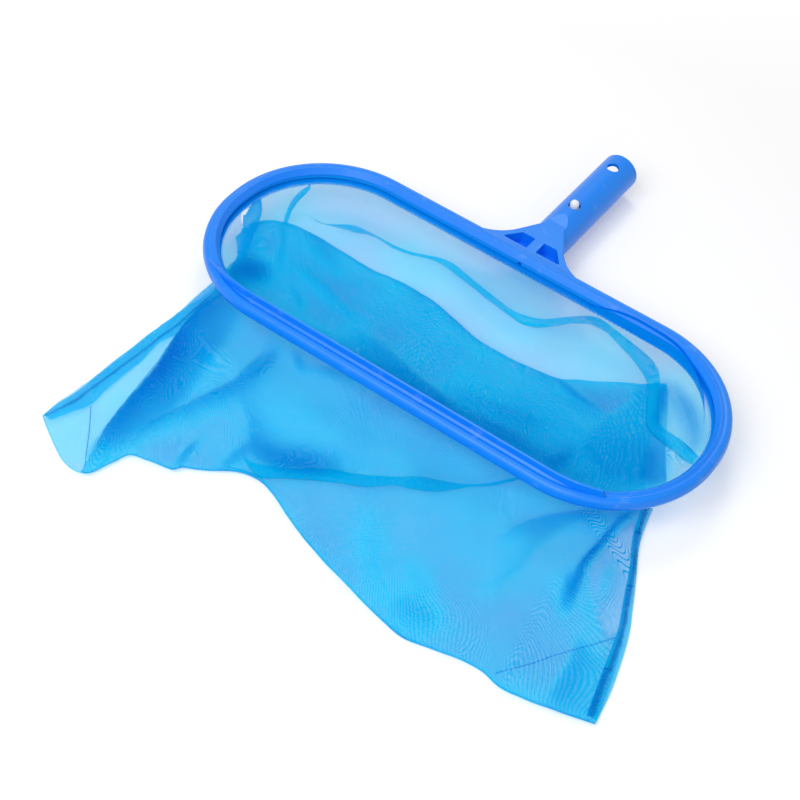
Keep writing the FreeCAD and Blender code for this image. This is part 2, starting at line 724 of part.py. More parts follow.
def clip_leg():
    """Upper leg: a sloping arm from the bow and a flat pad under the button."""
    pad_z = PAD_TOP - STRIP_THICKNESS / 2
    pad_start = BUTTON_Y - PAD_LENGTH / 2
    arm = clip_strip([(HINGE_Y, BOW_RADIUS), (pad_start, pad_z), (BUTTON_Y + PAD_LENGTH / 2, pad_z)])
    corner = V(-STRIP_WIDTH / 2, HINGE_Y, BOW_RADIUS)
    end = Part.makeCylinder(STRIP_THICKNESS / 2, STRIP_WIDTH, corner, V(1, 0, 0))
    under = V(0, BUTTON_Y, pad_z - 2 * STRIP_THICKNESS)
    hole = Part.makeCylinder(STEM_DIAMETER / 2 + STEM_CLEARANCE, 4 * STRIP_THICKNESS, under)
    return arm.fuse(end).cut(hole).removeSplitter()


def lock_button():
    """Upper button: domed pin, flange under the spigot's wall and a riveted stem through the pad."""
    radius = BUTTON_DIAMETER / 2
    dome = BUTTON_TIP - radius
    pad_bottom = PAD_TOP - STRIP_THICKNESS
    rivet = pad_bottom - RIVET_HEIGHT
    profile = [
        V(0, 0, BUTTON_TIP),
        V(0, 0, rivet),
        V(RIVET_DIAMETER / 2, 0, rivet),
        V(RIVET_DIAMETER / 2, 0, pad_bottom),
        V(STEM_DIAMETER / 2, 0, pad_bottom),
        V(STEM_DIAMETER / 2, 0, PAD_TOP),
        V(BUTTON_FLANGE / 2, 0, PAD_TOP),
        V(BUTTON_FLANGE / 2, 0, FLANGE_TOP),
        V(radius, 0, FLANGE_TOP),
        V(radius, 0, dome),
    ]
    half_round = radius * math.sqrt(0.5)
    edges = [Part.LineSegment(start, end).toShape() for start, end in zip(profile, profile[1:])]
    edges.append(Part.Arc(profile[-1], V(half_round, 0, dome + half_round), profile[0]).toShape())
    button = Part.Face(Part.Wire(edges)).revolve(V(0, 0, 0), V(0, 0, 1), 360)
    button.translate(V(0, BUTTON_Y, 0))
    return button


def clip_bow():
    """Bent end of the clip, between its two legs."""
    inner = BOW_RADIUS - STRIP_THICKNESS / 2
    outer = BOW_RADIUS + STRIP_THICKNESS / 2
    ring = Part.makeCylinder(outer, STRIP_WIDTH, V(-STRIP_WIDTH / 2, HINGE_Y, 0), V(1, 0, 0))
    ring = ring.cut(Part.makeCylinder(inner, STRIP_WIDTH * 2, V(-STRIP_WIDTH, HINGE_Y, 0), V(1, 0, 0)))
    open_from = HINGE_Y - STRIP_THICKNESS / 2 - BOW_GAP
    return ring.cut(Part.makeBox(4 * outer, 4 * outer, 4 * outer, V(-2 * outer, open_from, -2 * outer)))


def turned_over(shape):
    """The same piece on the other side of the spigot's axis."""
    copy = shape.copy()
    copy.rotate(V(0, 0, 0), V(0, 1, 0), 180)
    return copy


def nodes():
    lip = front_lip()
    leg = clip_leg()
    button = lock_button()
    return {
        "frame_moulding": frame_moulding(lip),
        "front_lip": lip,
        "retaining_bead": retaining_bead(),
        "hem_band": hem_band(),
        "hem_stitch": hem_stitch(),
        "mesh_bag": mesh_bag(),
        "side_seam_left": side_seam(-1),
        "side_seam_right": side_seam(1),
        "seam_stitch_left": seam_stitch(-1),
        "seam_stitch_right": seam_stitch(1),
        "corner_stitch_left": corner_stitch(-1),
        "corner_stitch_right": corner_stitch(1),
        "clip_bow": clip_bow(),
        "clip_leg_upper": leg,
        "clip_leg_lower": turned_over(leg),
        "lock_button_upper": button,
        "lock_button_lower": turned_over(button),
    }


os.makedirs("parts", exist_ok=True)
for name, shape in nodes().items():
    print(name, "valid", shape.isValid(), "solids", len(shape.Solids), "volume", round(shape.Volume))
    shape.exportStep("parts/" + name + ".step")
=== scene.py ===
# Looks of a pool leaf net: its plastic, mesh cloth, seams and threads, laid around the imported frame.
import math

import bpy
import numpy as np
from mathutils import Matrix, Vector, noise
from mathutils.bvhtree import BVHTree


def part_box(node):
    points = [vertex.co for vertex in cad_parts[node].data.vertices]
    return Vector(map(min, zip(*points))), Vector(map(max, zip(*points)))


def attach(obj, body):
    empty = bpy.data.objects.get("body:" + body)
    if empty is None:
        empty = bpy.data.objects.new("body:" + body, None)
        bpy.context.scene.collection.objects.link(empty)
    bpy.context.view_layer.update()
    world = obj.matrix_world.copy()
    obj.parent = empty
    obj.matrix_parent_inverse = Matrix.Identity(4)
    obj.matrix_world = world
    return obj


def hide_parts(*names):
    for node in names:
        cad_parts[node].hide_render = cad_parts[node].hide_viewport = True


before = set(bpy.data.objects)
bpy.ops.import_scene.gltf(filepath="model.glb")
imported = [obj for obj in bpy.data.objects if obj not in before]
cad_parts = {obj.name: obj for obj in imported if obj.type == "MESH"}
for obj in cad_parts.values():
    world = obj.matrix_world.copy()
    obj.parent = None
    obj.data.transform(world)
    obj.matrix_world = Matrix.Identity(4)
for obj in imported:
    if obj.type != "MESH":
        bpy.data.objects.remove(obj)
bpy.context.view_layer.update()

# Frame, in metres: the floor's height, and the loop's middle along the net
FLOOR_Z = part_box("mesh_bag")[0].z
LOOP_Y = (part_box("hem_band")[0].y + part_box("hem_band")[1].y) / 2

# Places and sizes of the rail and the cloth are in millimetres: across and along the net from the loop's
# middle, and height over the floor.
MM = 0.001
RAIL_TOP = 30.55
RAIL_FOOT = RAIL_TOP - 6
LOOP_HALF_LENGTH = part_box("frame_moulding")[1].x / MM
LOOP_HALF_WIDTH = (LOOP_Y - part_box("frame_moulding")[0].y) / MM
LOOP_CORNER = 84.2
RAIL_WIDTH = 12.0
HEM_LINE = RAIL_WIDTH + 0.8
HEM_EDGE = HEM_LINE - 0.2
HEM_DROP = 1.2
# How far along the net the hem of each panel runs round the two bends: left, right
HEM_BEHIND_ENDS = (13, 9)
HEM_FRONT_ENDS = (-50, -30)

# Cloth: its flat size in metres, the grid its shape is built on, and its lowest height. In the spacing of
# the front panel's columns, what its lines run along the net counts for less.
COLUMNS = 230
ROW = 2.2
FRONT_SLANT = 0.35
CURVE_STEPS = 1200
BEND_POINTS = 45
CREASE_POINTS = 60
CREASE_MARGIN = 40
CLOTH_LOWEST = 0.35

# Unevenness of lying cloth: height or closeness, and reach of one wave. Above HANG_TOP cloth hangs free.
SWELL_HEIGHT = 2.0
SWELL_REACH = 46
RIPPLE_HEIGHT = 0.3
RIPPLE_REACH = 18
CLOUD_CLOSENESS = 0.05
CLOUD_REACH = 60
HANG_TOP = RAIL_FOOT - 2
HANG_DEPTH = 12

# Weave: pitch of its threads in metres. Their width and how far they lie off their place are shares of
# that, and their thickness varies between two factors.
THREAD_PITCH = 0.0006
THREAD_SHARE = 0.31
THREAD_SHIFT = 0.3
THREAD_THICKNESS = (0.9, 1.1)
# Where the flat coordinates of a panel start, in metres from the hem behind, and the turn of its threads
FRONT_START = 0.32
LEFT_FLAP_START = 0.1
FRONT_WEAVE_TURN = 0.72
BAND_WEAVE_TURN = 0.5

# Seams and stitches: points along their lines, the height each layer lies over the cloth, and thread radii
SEAM_POINTS = 220
HEM_POINTS = 300
HEM_STITCH_POINTS = 600
FLAP_POINTS = 120
SHORT_CURVE = 60
SEAM_LIFT = 0.5
SEAM_OUTER_LIFT = 0.4
SEAM_INNER_LIFT = 0.3
HANGING_LIFT = (0, 0, 0.8)
HANGING_JAG = (1.6, 1.2, 0)
OVERLOCK_LIFT = (0, 0, 0.2)
OVERLOCK_UNEVENNESS = 0.5
OVERLOCK_RADIUS = 0.28
CORNER_LIFT = 0.35
CORNER_RADIUS = 0.24
HEM_THREAD_RADIUS = 0.15
STITCH_BULGE = 0.15
TUBE_SIDES = 6
TUCK_WIDTH = 3.2
TUCK_LIFT = (0, 0, 0.4)

# Plastic and steel: scale and detail of the noise behind each effect, and how strongly it shows
PLASTIC_IOR = 1.49
CLOUDS = (18, 4)
ROUGH_SPOTS = (60, 3)
ROUGH_SPREAD = 0.05
GRAIN = (700, 2)
GRAIN_DEPTH_M = 0.00004
SCUFFS = (95, 7)
SCUFF_LEVELS = (0.62, 0.78)
SCUFF_COLOUR = (0.2, 0.42, 0.98)
SCUFF_ROUGHNESS = 0.25
BRUSHING = (700, 3, (1, 0.03, 1))
BRUSHED_ROUGHNESS = (0.22, 0.42)

# Looks of the cloth: how strongly gathering widens its threads, deepens their colour with painted shade and
# turns it to the colour of doubled layers, which on the mesh is painted light; clouds in the dye, and a soft
# sheen
GATHERED_WIDTH = 0.5
GATHERED_SHADE = 2.0
GATHERED_PAINTED_LIGHT = 14
DYE_CLOUDS = (40, 3)
DYE_SPREAD = 0.12
SHEEN_COLOUR = (0.0, 0.6, 1.0)

# Camera: turned round the net's middle, raised and rolled as the photograph's was. Its target and distance
# are in metres, its lens and sensor in millimetres.
CAMERA_TARGET = Vector((0.0103, -0.3056, 0.0117))
CAMERA_TURN = math.radians(30.255)
CAMERA_RAISE = math.radians(48.661)
CAMERA_ROLL = math.radians(7.155)
CAMERA_DISTANCE = 0.9951
CAMERA_LENS = 69.58
CAMERA_SENSOR = 36

# Studio: place and side of each lamp in metres, and its power in watts. What is seen directly of the
# surroundings is brighter than what lights the net, and the floor's glow grows between two distances.
LAMPS = {
    "key": ((-0.15, -1.05, 1.15), 1.0, 11),
    "fill": ((0.7, -0.9, 0.5), 0.6, 1.0),
    "rim": ((-0.38, 0.42, 0.95), 0.35, 2.2),
}
SURROUNDINGS_LIGHT = 0.42
SURROUNDINGS_SEEN = 0.58
FLOOR_HALF = 3.0
FLOOR_COLOUR = (0.86, 0.86, 0.87)
FLOOR_GLOW = (0.25, 0.62)
FLOOR_GLOW_DISTANCES = (0.4, 1.3)

# Where the hem stands up out of its groove behind on the right: its lower and its upper edge
FLAP_FOOT = [
    (54, 73.9, 25), (80, 73.9, 23.5), (105, 73.8, 22.5), (125, 72.5, 22.5), (142, 67, 22.5),
    (155, 58.5, 22.5), (166, 46, 22.5), (174, 31, 23),
]
FLAP_TOP = [
    (57, 73.9, 26), (66, 74, 30), (75, 75, 33), (90.5, 76.6, 35.2), (107, 76.6, 35.2), (122, 75.6, 34.8),
    (132, 73, 33.8), (142, 68.2, 32.2), (151, 61.5, 31), (163, 49.5, 28.5), (173, 33, 25),
]

# Lines of the back panel, from the hem behind to the bottom of the bag in front. Each runs from the left
# seam to the right one. Between the two lines of the pleat the cloth lies in three layers.
STRIP_NEAR = [
    (-180, 4, 13), (-172, 28, 9), (-159, 38, 6), (-149, 36, 7), (-140.5, 36.6, 8), (-130, 40, 8),
    (-118, 43.3, 8), (-112, 47, 8), (-102.4, 49, 8), (-91, 48.4, 8), (-80, 50.3, 8), (-68, 53.6, 8.5),
    (-56, 56.5, 9), (-43.6, 56, 9), (-27, 52, 10), (-3, 47, 10), (16, 44, 11), (29, 43, 11),
    (39, 47, 12), (49, 55, 14), (54.4, 60, 16), (60.3, 65, 16), (67.7, 70.5, 16), (75.4, 70.5, 15),
    (87, 67, 14), (99.4, 62.4, 13), (109.5, 58, 12), (118.4, 53.5, 11), (125, 48, 10), (133, 32, 9),
    (142, 18, 9), (156, 12, 10), (167, 9, 12), (176, 5, 14), (185, 1, 19),
]
STRIP_FAR = [
    (-180, -3, 11), (-174, 19, 8), (-162, 35, 6), (-151, 37, 6), (-141, 37.5, 8), (-131.6, 44, 8),
    (-124, 49, 8), (-114, 50.6, 8), (-102, 51.3, 8), (-90, 52, 8), (-77.4, 54.2, 8.3), (-65.7, 57.7, 9),
    (-56, 61.8, 9), (-45, 63, 9), (-28, 59, 9.5), (-8, 55, 9), (11, 52, 9), (23, 52, 10), (34, 55, 11),
    (43, 61, 13), (50.8, 66, 16), (57.3, 72.7, 16), (63.7, 77, 16), (71, 78, 16), (80, 75.8, 16),
    (91, 74, 15), (99.4, 72, 15), (110, 70, 14), (117, 68, 13), (125, 63, 11), (130, 56, 9.5),
    (138, 41, 9), (148, 26, 9), (158, 23, 10), (168, 20, 12), (177, 15, 15), (185, 8, 20),
]
BACK_FLOOR = [
    (-176, -9, 10), (-168, 5, 3), (-150, 18, 1.2), (-90, 26, 0.6), (0, 24, 0.6), (90, 26, 0.6),
    (128, 20, 1), (148, 4, 2), (162, -2, 5), (175, -6, 13), (184, -8, 20),
]
BACK_INSIDE = [
    (-168, -27, 6), (-150, -22, 0.6), (0, -25, 0.6), (120, -24, 0.6), (152, -24, 1), (168, -26, 8),
    (180, -22, 21),
]
UNDER_RAIL = [
    (-165, -58, 1), (-120, -66, 0.6), (0, -66, 0.6), (120, -64, 0.6), (160, -56, 1), (176, -38, 4),
]
BACK_OUTSIDE = [(-168, -97, 1), (-90, -100, 0.6), (60, -100, 0.6), (160, -96, 0.6), (195, -90, 1)]
BACK_MIDDLE = [(-170, -150, 1), (-90, -142, 0.6), (60, -142, 0.6), (215, -142, 1)]
BOTTOM = [
    (-173, -222, 0.8), (-161, -229, 0.8), (-146, -237, 0.8), (-136, -241, 0.8), (-125, -242, 0.8),
    (-118, -239, 0.8), (-112, -222, 0.8), (-108, -211, 0.8), (-97, -207, 0.8), (-84, -204, 0.8),
    (-78, -202, 0.8), (-75, -197, 0.8), (-66, -191, 0.8), (-56, -184, 0.8), (-46, -177, 0.8),
    (-30, -174, 0.8), (2, -186, 0.8), (39, -198, 0.8), (76, -207, 0.8), (107, -211, 0.8),
    (129, -206, 0.8), (156, -201, 0.8), (172, -204, 0.8), (205, -197, 0.8), (227, -190, 0.8),
]

# Lines of the front panel, from the bottom of the bag back to its fold inside the loop, and on to the
# front hem
FRONT_BOTTOM = [(-122, -240, 0.9)] + BOTTOM[5:]
FRONT_LOW = [
    (-136, -196, 2.4), (-110, -192, 2.4), (-78, -186, 2.4), (-56, -180, 2.4), (-30, -172, 2.4),
    (2, -174, 2.4), (60, -178, 2.4), (120, -178, 2.4), (170, -172, 2.4), (216.5, -160, 2.4),
]
PLEAT_FAR = [
    (-149, -134, 2.6), (-110, -140, 2.6), (-84, -148, 2.6), (-70, -155, 2.6), (-58, -163, 2.6),
    (-46, -167, 2.6), (-33, -162, 2.6), (-22, -156, 2.6), (-2, -140, 2.6), (15, -130, 2.6),
    (31, -120, 2.6), (46, -107, 2.6), (64, -99, 2.6), (75, -93, 2.6), (84, -84, 2.6), (94, -70, 2.6),
    (102, -62, 2.6), (110, -59, 2.6), (125, -66, 2.6), (145, -78, 2.6), (170, -90, 2.6),
    (200, -106, 2.6),
]
PLEAT_NEAR = [
    (-150, -128, 3), (-110, -134, 3), (-84, -142, 3), (-70, -150, 3), (-58, -160, 3), (-46, -170, 3.2),
    (-33, -173, 3.2), (-17, -162, 3.4), (-1, -151, 3.4), (15, -142, 3.4), (27, -135, 3.4),
    (38, -125, 3.4), (47, -120, 3.4), (58, -114, 3.4), (68, -105, 3.4), (76, -96, 3.4), (86, -86.5, 3.4),
    (94, -75, 3.4), (102, -64, 3), (110, -55, 3), (126, -60, 3), (147, -72, 3), (172, -84, 3),
    (197.5, -100, 3),
]
FRONT_OUTSIDE = [
    (-157, -90, 3), (-120, -90, 3), (0, -92, 3), (60, -78, 3), (100, -52, 3), (130, -53, 3),
    (184, -70, 3),
]
FRONT_UNDER_RAIL = [
    (-161, -62, 4), (-120, -60, 3.4), (0, -60, 3.4), (60, -56, 3.4), (100, -42, 3.6), (130, -42, 3.6),
    (172, -40, 5),
]
FRONT_FLOOR = [(-168, -28, 7), (-120, -16, 4), (0, -18, 4), (100, -8, 4), (150, 8, 5)]
FOLD = [
    (-180, -3, 12), (-176, 9, 9.5), (-169, 15, 9), (-155, 20, 9), (-138, 20.5, 9), (-117, 21, 9),
    (-102, 20, 9), (-85, 20, 9), (-67, 22, 9), (-43, 22.5, 9), (-18, 18, 9), (9, 12, 9), (34, 10.5, 9),
    (55, 13, 9), (67, 16, 9), (74, 18, 9), (84, 25, 9), (96, 33, 9), (105, 39, 9), (120, 49, 9),
    (126, 54, 9), (133, 60, 9),
]
SLACK_LINES = [
    [(-180, -9, 12), (-150, -6, 8), (-100, -4, 7.5), (0, -10, 7.5), (60, -8, 7.5), (100, 10, 8.5),
     (142, 46, 9)],
    [(-173, -23, 11), (-140, -26, 7), (0, -34, 7), (90, -26, 7), (130, -5, 8), (153, 25, 9)],
    [(-165, -37, 10), (-130, -46, 7), (0, -52, 7), (90, -46, 8), (140, -28, 9), (163, 5, 9)],
    [(-163, -48, 9.5), (-120, -61, 10), (0, -65, 10), (110, -61, 11), (150, -46, 12), (173, -12, 12)],
]
# Single layer that hangs from the left bend of the rail
LEFT_FLAP = [
    [(-183, -8, 15), (-177, -20, 12), (-169, -32, 9), (-163, -46, 8), (-152, -58, 7)],
    [(-178, -6, 11), (-170, -18, 9), (-162, -30, 7), (-157, -44, 6), (-146, -58, 6)],
]

# Seams, from the inside of the loop to the bottom corners: the overlocked line, and the edges of its band
LEFT_HANGING_EDGE = [
    (-184.6, 5, 24), (-184, 1, 22), (-183.5, -6, 19), (-181, -10, 17), (-178, -13, 15.5),
    (-178, -21, 13.5), (-174, -25, 12.5), (-170, -29, 12), (-166, -34, 11), (-165, -39, 10.5),
    (-165.5, -45, 10), (-164, -51, 9.5), (-163, -57, 7),
]
LEFT_HANGING_FOLD = [
    (-183, 13, 24), (-180, 11, 21), (-177.5, 8, 18), (-176, 4, 15), (-173, -3, 13), (-170, -11, 12),
    (-166, -19, 11.5), (-163, -28, 11), (-160, -37, 10.5), (-158, -46, 9.5), (-156, -55, 7),
]
LEFT_SEAM = [
    (-162, -52, 7), (-161, -61, 4.5), (-161, -75, 3.8), (-160, -92, 3.6), (-160, -108, 3.6),
    (-161, -120, 3.6), (-161, -132, 3.6), (-163, -149, 3.6), (-164, -170, 3.6), (-165, -188, 3.6),
    (-166, -205, 3.4), (-171, -221, 3),
]
LEFT_OUTER = [
    (-167, -50, 4), (-169, -60, 1.6), (-169, -76, 1.2), (-168, -93, 1.2), (-168, -107, 1.2),
    (-170, -123, 1.2), (-170, -138, 1.2), (-171, -154, 1.2), (-171, -171, 1.2), (-170, -187, 1.2),
    (-171, -202, 1.2), (-173, -222, 1.2),
]
LEFT_INNER = [
    (-156, -54, 6), (-153, -66, 4.2), (-153, -84, 3.6), (-153, -100, 3.4), (-154, -111, 3.4),
    (-158, -125, 3.4), (-157, -141, 3.4), (-157, -161, 3.4), (-157, -181, 3.4), (-156, -195, 3.4),
    (-160, -208, 3.3), (-166, -222, 3),
]
RIGHT_SEAM = [
    (174, -38, 4), (176.5, -49, 3.6), (181, -63, 3.4), (190.5, -83, 3.4), (200, -107, 3.4),
    (208, -127, 3.4), (213, -147, 3.4), (218, -169, 3.4), (223, -189, 3.2),
]
RIGHT_OUTER = [
    (177, -33, 2), (180, -48, 1.4), (184.6, -64, 1.2), (194.5, -85, 1.2), (205, -108, 1.2),
    (212, -124, 1.2), (219, -147, 1.2), (224, -168, 1.2), (227, -189, 1.2),
]
# Middle of the narrow tuck that hangs from the hem behind on the left
TUCK = [
    (-166, 50, 21), (-167.3, 46.5, 19), (-169, 42, 16), (-170, 37, 13), (-170, 31, 9), (-167.7, 25, 7),
    (-165, 19, 10),
]
# Rows of stitches across the bottom corners
CORNER_LEFT = [(-155, -196, 4), (-143, -210, 4), (-133, -223, 4), (-120, -239, 3)]
CORNER_RIGHT = [(164, -199, 4), (175, -184, 4), (187, -164, 4), (200, -145, 4), (209, -131, 4)]

# Creases of the cloth and bands of painted shade: points from end to end, reach of its left and of its right
# side, height, and how much closer the threads lie on it. Closer threads take a deeper colour, which paints
# shade.
CREASES_AND_SHADE = [
    # Front, left of the middle
    ([(-103, -77), (-97, -90), (-97, -105), (-96, -121), (-100, -137), (-106, -155), (-112, -172),
      (-116, -190)], 12, 2, 3.0, 0.18),
    ([(-94, -81), (-90, -93), (-90, -106), (-91, -117)], 3, 2, 1.5, 0.09),
    ([(-81, -173), (-81, -186), (-79, -195), (-77, -203)], 3, 3, 2.0, 0.2),
    ([(-54, -154), (-55, -168), (-56, -178), (-56, -186)], 5, 4, 1.5, 0.14),
    ([(-60, -146), (-45, -157), (-28, -155), (-10, -145), (8, -132)], 15, 6, 1.5, 0.24),
    ([(-85, -129), (-72, -138), (-62, -146), (-53, -155)], 12, 1.5, 1.0, 0.08),
    ([(-84, -73), (-75, -80), (-65, -87)], 4, 3, 1.5, 0.14),
    ([(-69, -79), (-57, -73), (-46, -69), (-29, -68)], 2, 8, 1.5, 0.14),
    # Fold down the left of the front with painted shade on its steep side, and a band of painted shade beside
    # it
    ([(-154, -58), (-157, -83), (-153, -111), (-147, -129), (-141, -154), (-138, -177), (-134, -199),
      (-129, -225), (-120, -240)], 13, 2, 4.0, 0.34),
    ([(-142, -59), (-134, -90), (-127, -118), (-121, -149), (-118, -174), (-117, -193),
      (-115, -214)], 8, 14, 0.0, 0.16),
    # Front, middle and right
    ([(34, -141), (47, -161), (61, -179), (77, -194), (92, -202)], 10, 10, 2.0, 0.07),
    ([(86, -196), (103, -194), (121, -193)], 12, 14, 0.5, 0.12),
    ([(76, -167), (91, -172), (105, -181)], 9, 9, 0.5, 0.07),
    ([(172, -41), (155, -57), (138, -73), (125, -88), (118, -100), (115, -109),
      (115, -123)], 10, 2.5, 3.0, 0.15),
    ([(143, -74), (136, -91), (133, -106), (134, -120), (133, -136), (131, -154)], 2, 9, 2.0, 0.09),
    ([(171, -44), (166, -55), (165, -66), (165, -80), (164, -93), (164, -102), (167, -111), (170, -121),
      (175, -131)], 3, 2.2, 4.0, 0.32),
    ([(162, -107), (166, -119), (170, -129), (174, -138)], 3, 4, 1.5, 0.22),
    ([(174, -80), (180, -96), (186, -114), (191, -130)], 7, 7, 1.0, 0.12),
    ([(190, -146), (194, -163), (196, -179), (198, -196)], 14, 1.5, 0.5, 0.12),
    # Slack inside the loop
    ([(-140, -15), (-133, -12), (-124, -10), (-114, -12), (-103, -14), (-89, -18), (-75, -20),
      (-58, -21)], 1.8, 7, 2.0, 0.14),
    ([(-127, -29), (-116, -31), (-109, -35), (-102, -42)], 3, 3, 1.0, 0.12),
    ([(-145, 20), (-129, 14), (-114, 9), (-98, 3)], 4, 6, 1.0, 0.08),
    ([(-70, -32), (-49, -34), (-30, -37), (-10, -41), (14, -46), (36, -52)], 3, 12, 2.0, 0.16),
    # Band of painted shade that the front rail casts on the slack beside it
    ([(-113, -52), (-95, -52), (-60, -53), (-26, -53), (7, -53), (40, -53), (71, -54), (102, -52),
      (127, -51)], 9, 9, 0.0, 0.14),
    ([(72, 15), (80, 15), (88, 13), (102, 11), (116, 10)], 2.5, 3, 1.5, 0.22),
    ([(11, -36), (42, -33), (70, -27), (95, -17)], 2, 6, 1.0, 0.06),
    ([(37, -49), (59, -46), (82, -45), (104, -50)], 3, 6, 1.0, 0.08),
    ([(108, -56), (111, -43), (113, -28)], 5, 4, 1.0, 0.12),
    ([(-165, 18), (-157, 7), (-148, -6), (-140, -18)], 3, 3, 0.0, 0.1),
    ([(-180, 3), (-172, -10), (-165, -23), (-160, -35)], 8, 8, 0.0, 0.12),
    ([(-165, -45), (-157, -42), (-150, -34), (-143, -22)], 12, 12, 0.0, 0.34),
    ([(p[0], p[1]) for p in FOLD[:16]], 2, 2.5, 0.0, 0.12),
    # Block at the right end of the slack
    ([(133, 56), (138, 45), (142, 35), (146, 24)], 2.5, 3, 1.0, 0.22),
    # Back panel: a faint darker band, and painted shadow of the rail beside its right bend
    ([(-14, 78), (13, 75), (38, 77)], 10, 10, 0.0, 0.05),
    ([(134, 66), (146, 54), (158, 45), (168, 34), (176, 21), (180, 8)], 7, 9, 0.0, 0.3),
]

# Parts of the cloth where its threads lie closer or wider, and so darker or lighter: outline, how much
# closer, and softness of its edge
PATCHES = [
    # Folded-over end of the slack, the painted shade of the corner under it, and the light triangle beside it
    ([(115, 11), (118, 20), (122, 33), (119, 38), (125, 54), (132, 60), (136, 56), (141, 46), (147, 35),
      (153, 25), (150, 10), (160, 0), (163, -13), (165, -24), (140, -34), (118, -26),
      (115, -13)], 0.08, 4),
    # Painted shade in the corner under the folded-over end
    ([(149, 17), (158, 17), (166, 9), (172, -4), (176, -18), (168, -28), (158, -16), (153, -2)], 0.13, 4),
    ([(88, 13), (102, 11), (115, 11), (118, 20), (122, 33), (116, 43), (100, 37), (85, 25),
      (76, 17)], -0.05, 3),
    # Right half of the slack
    ([(20, -64), (120, -64), (160, -50), (176, -12), (150, 16), (115, -2), (60, -8), (20, -20)], 0.1, 16),
    # Thin place beside the right seam, and the corner below it
    ([(173, -52), (181, -62), (192, -84), (200, -104), (208, -124), (204, -136), (188, -126), (177, -113),
      (170, -101), (168.5, -85), (169, -69)], -0.14, 3.5),
    ([(190, -147), (224, -150), (228, -190), (200, -198), (197, -172)], 0.06, 6),
    # Single cloth at the left corner
    ([(-170, -75), (-155, -75), (-158, -110), (-150, -140), (-140, -180), (-128, -238), (-150, -236),
      (-172, -222)], 0.04, 3),
]


def place(points):
    """Points in the frame's metres, from millimetres across, along and over the floor."""
    p = np.array(points, float) * MM
    p[..., 1] += LOOP_Y
    p[..., 2] += FLOOR_Z
    return p


def ramp(x, low, high):
    """Smooth step from 0 at low to 1 at high."""
    t = np.clip((x - low) / (high - low), 0, 1)
    return t * t * (3 - 2 * t)


def lengths(points, weights=(1, 1, 1)):
    """Length along the points up to each of them, in which each direction counts by its weight."""
    steps = np.diff(points, axis=0) * weights
    return np.concatenate([[0], np.cumsum(np.linalg.norm(steps, axis=1))])


def points_at(where, along, points):
    """Points of a line at the given lengths along it."""
    return np.stack([np.interp(where, along, points[:, k]) for k in range(3)], axis=1)


def curve_between(start, lean_start, end, lean_end, t):
    """Smooth curve between two points with the given slopes at them, for t from 0 to 1."""
    return (
        (2 * t**3 - 3 * t**2 + 1) * start
        + (t**3 - 2 * t**2 + t) * lean_start
        + (3 * t**2 - 2 * t**3) * end
        + (t**3 - t**2) * lean_end
    )


def through(points, count, slant=1.0):
    """Smooth curve through the points, in even steps. What it runs along and up counts by slant."""
    p = np.array(points, float)
    knots = np.concatenate([[0], np.cumsum(np.sqrt(np.linalg.norm(np.diff(p, axis=0), axis=1)))])
    lean = np.gradient(p, knots, axis=0)
    t = np.linspace(0, knots[-1], CURVE_STEPS)
    i = np.clip(np.searchsorted(knots, t) - 1, 0, len(p) - 2)
    span = (knots[i + 1] - knots[i])[:, None]
    share = (t - knots[i])[:, None] / span
    curve = curve_between(p[i], span * lean[i], p[i + 1], span * lean[i + 1], share)
    along = lengths(curve, (1, slant, slant))
    return points_at(np.linspace(0, along[-1], count), along, curve)


def loop_path(inset, height, side, left_y, right_y):
    """Line round the back of the loop (side 1) or its front (side -1), from the left bend to the right."""
    radius = LOOP_CORNER - inset
    middle_x = LOOP_HALF_LENGTH - inset - radius
    middle_y = LOOP_HALF_WIDTH - inset - radius
    points = []
    for sign, end in ((-1, left_y), (1, right_y)):
        low = math.asin((side * end - middle_y) / radius)
        bend = []
        for k in range(BEND_POINTS):
            angle = low + (math.pi / 2 - low) * k / (BEND_POINTS - 1)
            x = sign * (middle_x + radius * math.cos(angle))
            bend.append((x, side * (middle_y + radius * math.sin(angle)), height))
        points += bend if sign < 0 else bend[::-1]
    return points


def loft(lines):
    """Rows of points on smooth curves through the lines, each column on a curve of its own."""
    p = np.array(lines)
    padded = np.concatenate([2 * p[:1] - p[1:2], p, 2 * p[-1:] - p[-2:-1]])
    gaps = np.sqrt(np.linalg.norm(np.diff(padded[..., :3], axis=0), axis=2))[..., None] + 1e-3
    rows = [p[0]]
    for k in range(len(p) - 1):
        before, start, end, after = padded[k : k + 4]
        g0, g1, g2 = gaps[k : k + 3]
        lean_start = ((start - before) / g0 - (end - before) / (g0 + g1) + (end - start) / g1) * g1
        lean_end = ((end - start) / g1 - (after - start) / (g1 + g2) + (after - end) / g2) * g1
        apart = np.median(np.linalg.norm((end - start)[:, :3], axis=1))
        steps = max(3, round(float(apart) / ROW))
        for j in range(1, steps + 1):
            t = j / steps
            row = curve_between(start, lean_start, end, lean_end, t)
            row[:, 3] = start[:, 3] + (end[:, 3] - start[:, 3]) * t
            rows.append(row)
    return np.array(rows)


def patch_effect(xy):
    """Closeness of threads that the patches give at each point."""
    close = np.zeros(len(xy))
    for points, share, soft in PATCHES:
        outline = np.array(points, float)
        gap = np.full(len(xy), np.inf)
        inside = np.zeros(len(xy), bool)
        for start, end in zip(outline, np.roll(outline, -1, axis=0)):
            along = end - start
            t = np.clip(((xy - start) @ along) / (along @ along), 0, 1)
            gap = np.minimum(gap, np.linalg.norm(xy - start - t[:, None] * along, axis=1))
            crosses = (start[1] > xy[:, 1]) != (end[1] > xy[:, 1])
            slope = along[0] / along[1] if along[1] else 0.0
            inside ^= crosses & (xy[:, 0] < start[0] + (xy[:, 1] - start[1]) * slope)
        close += share * ramp(np.where(inside, gap, -gap), -soft, soft)
    return close


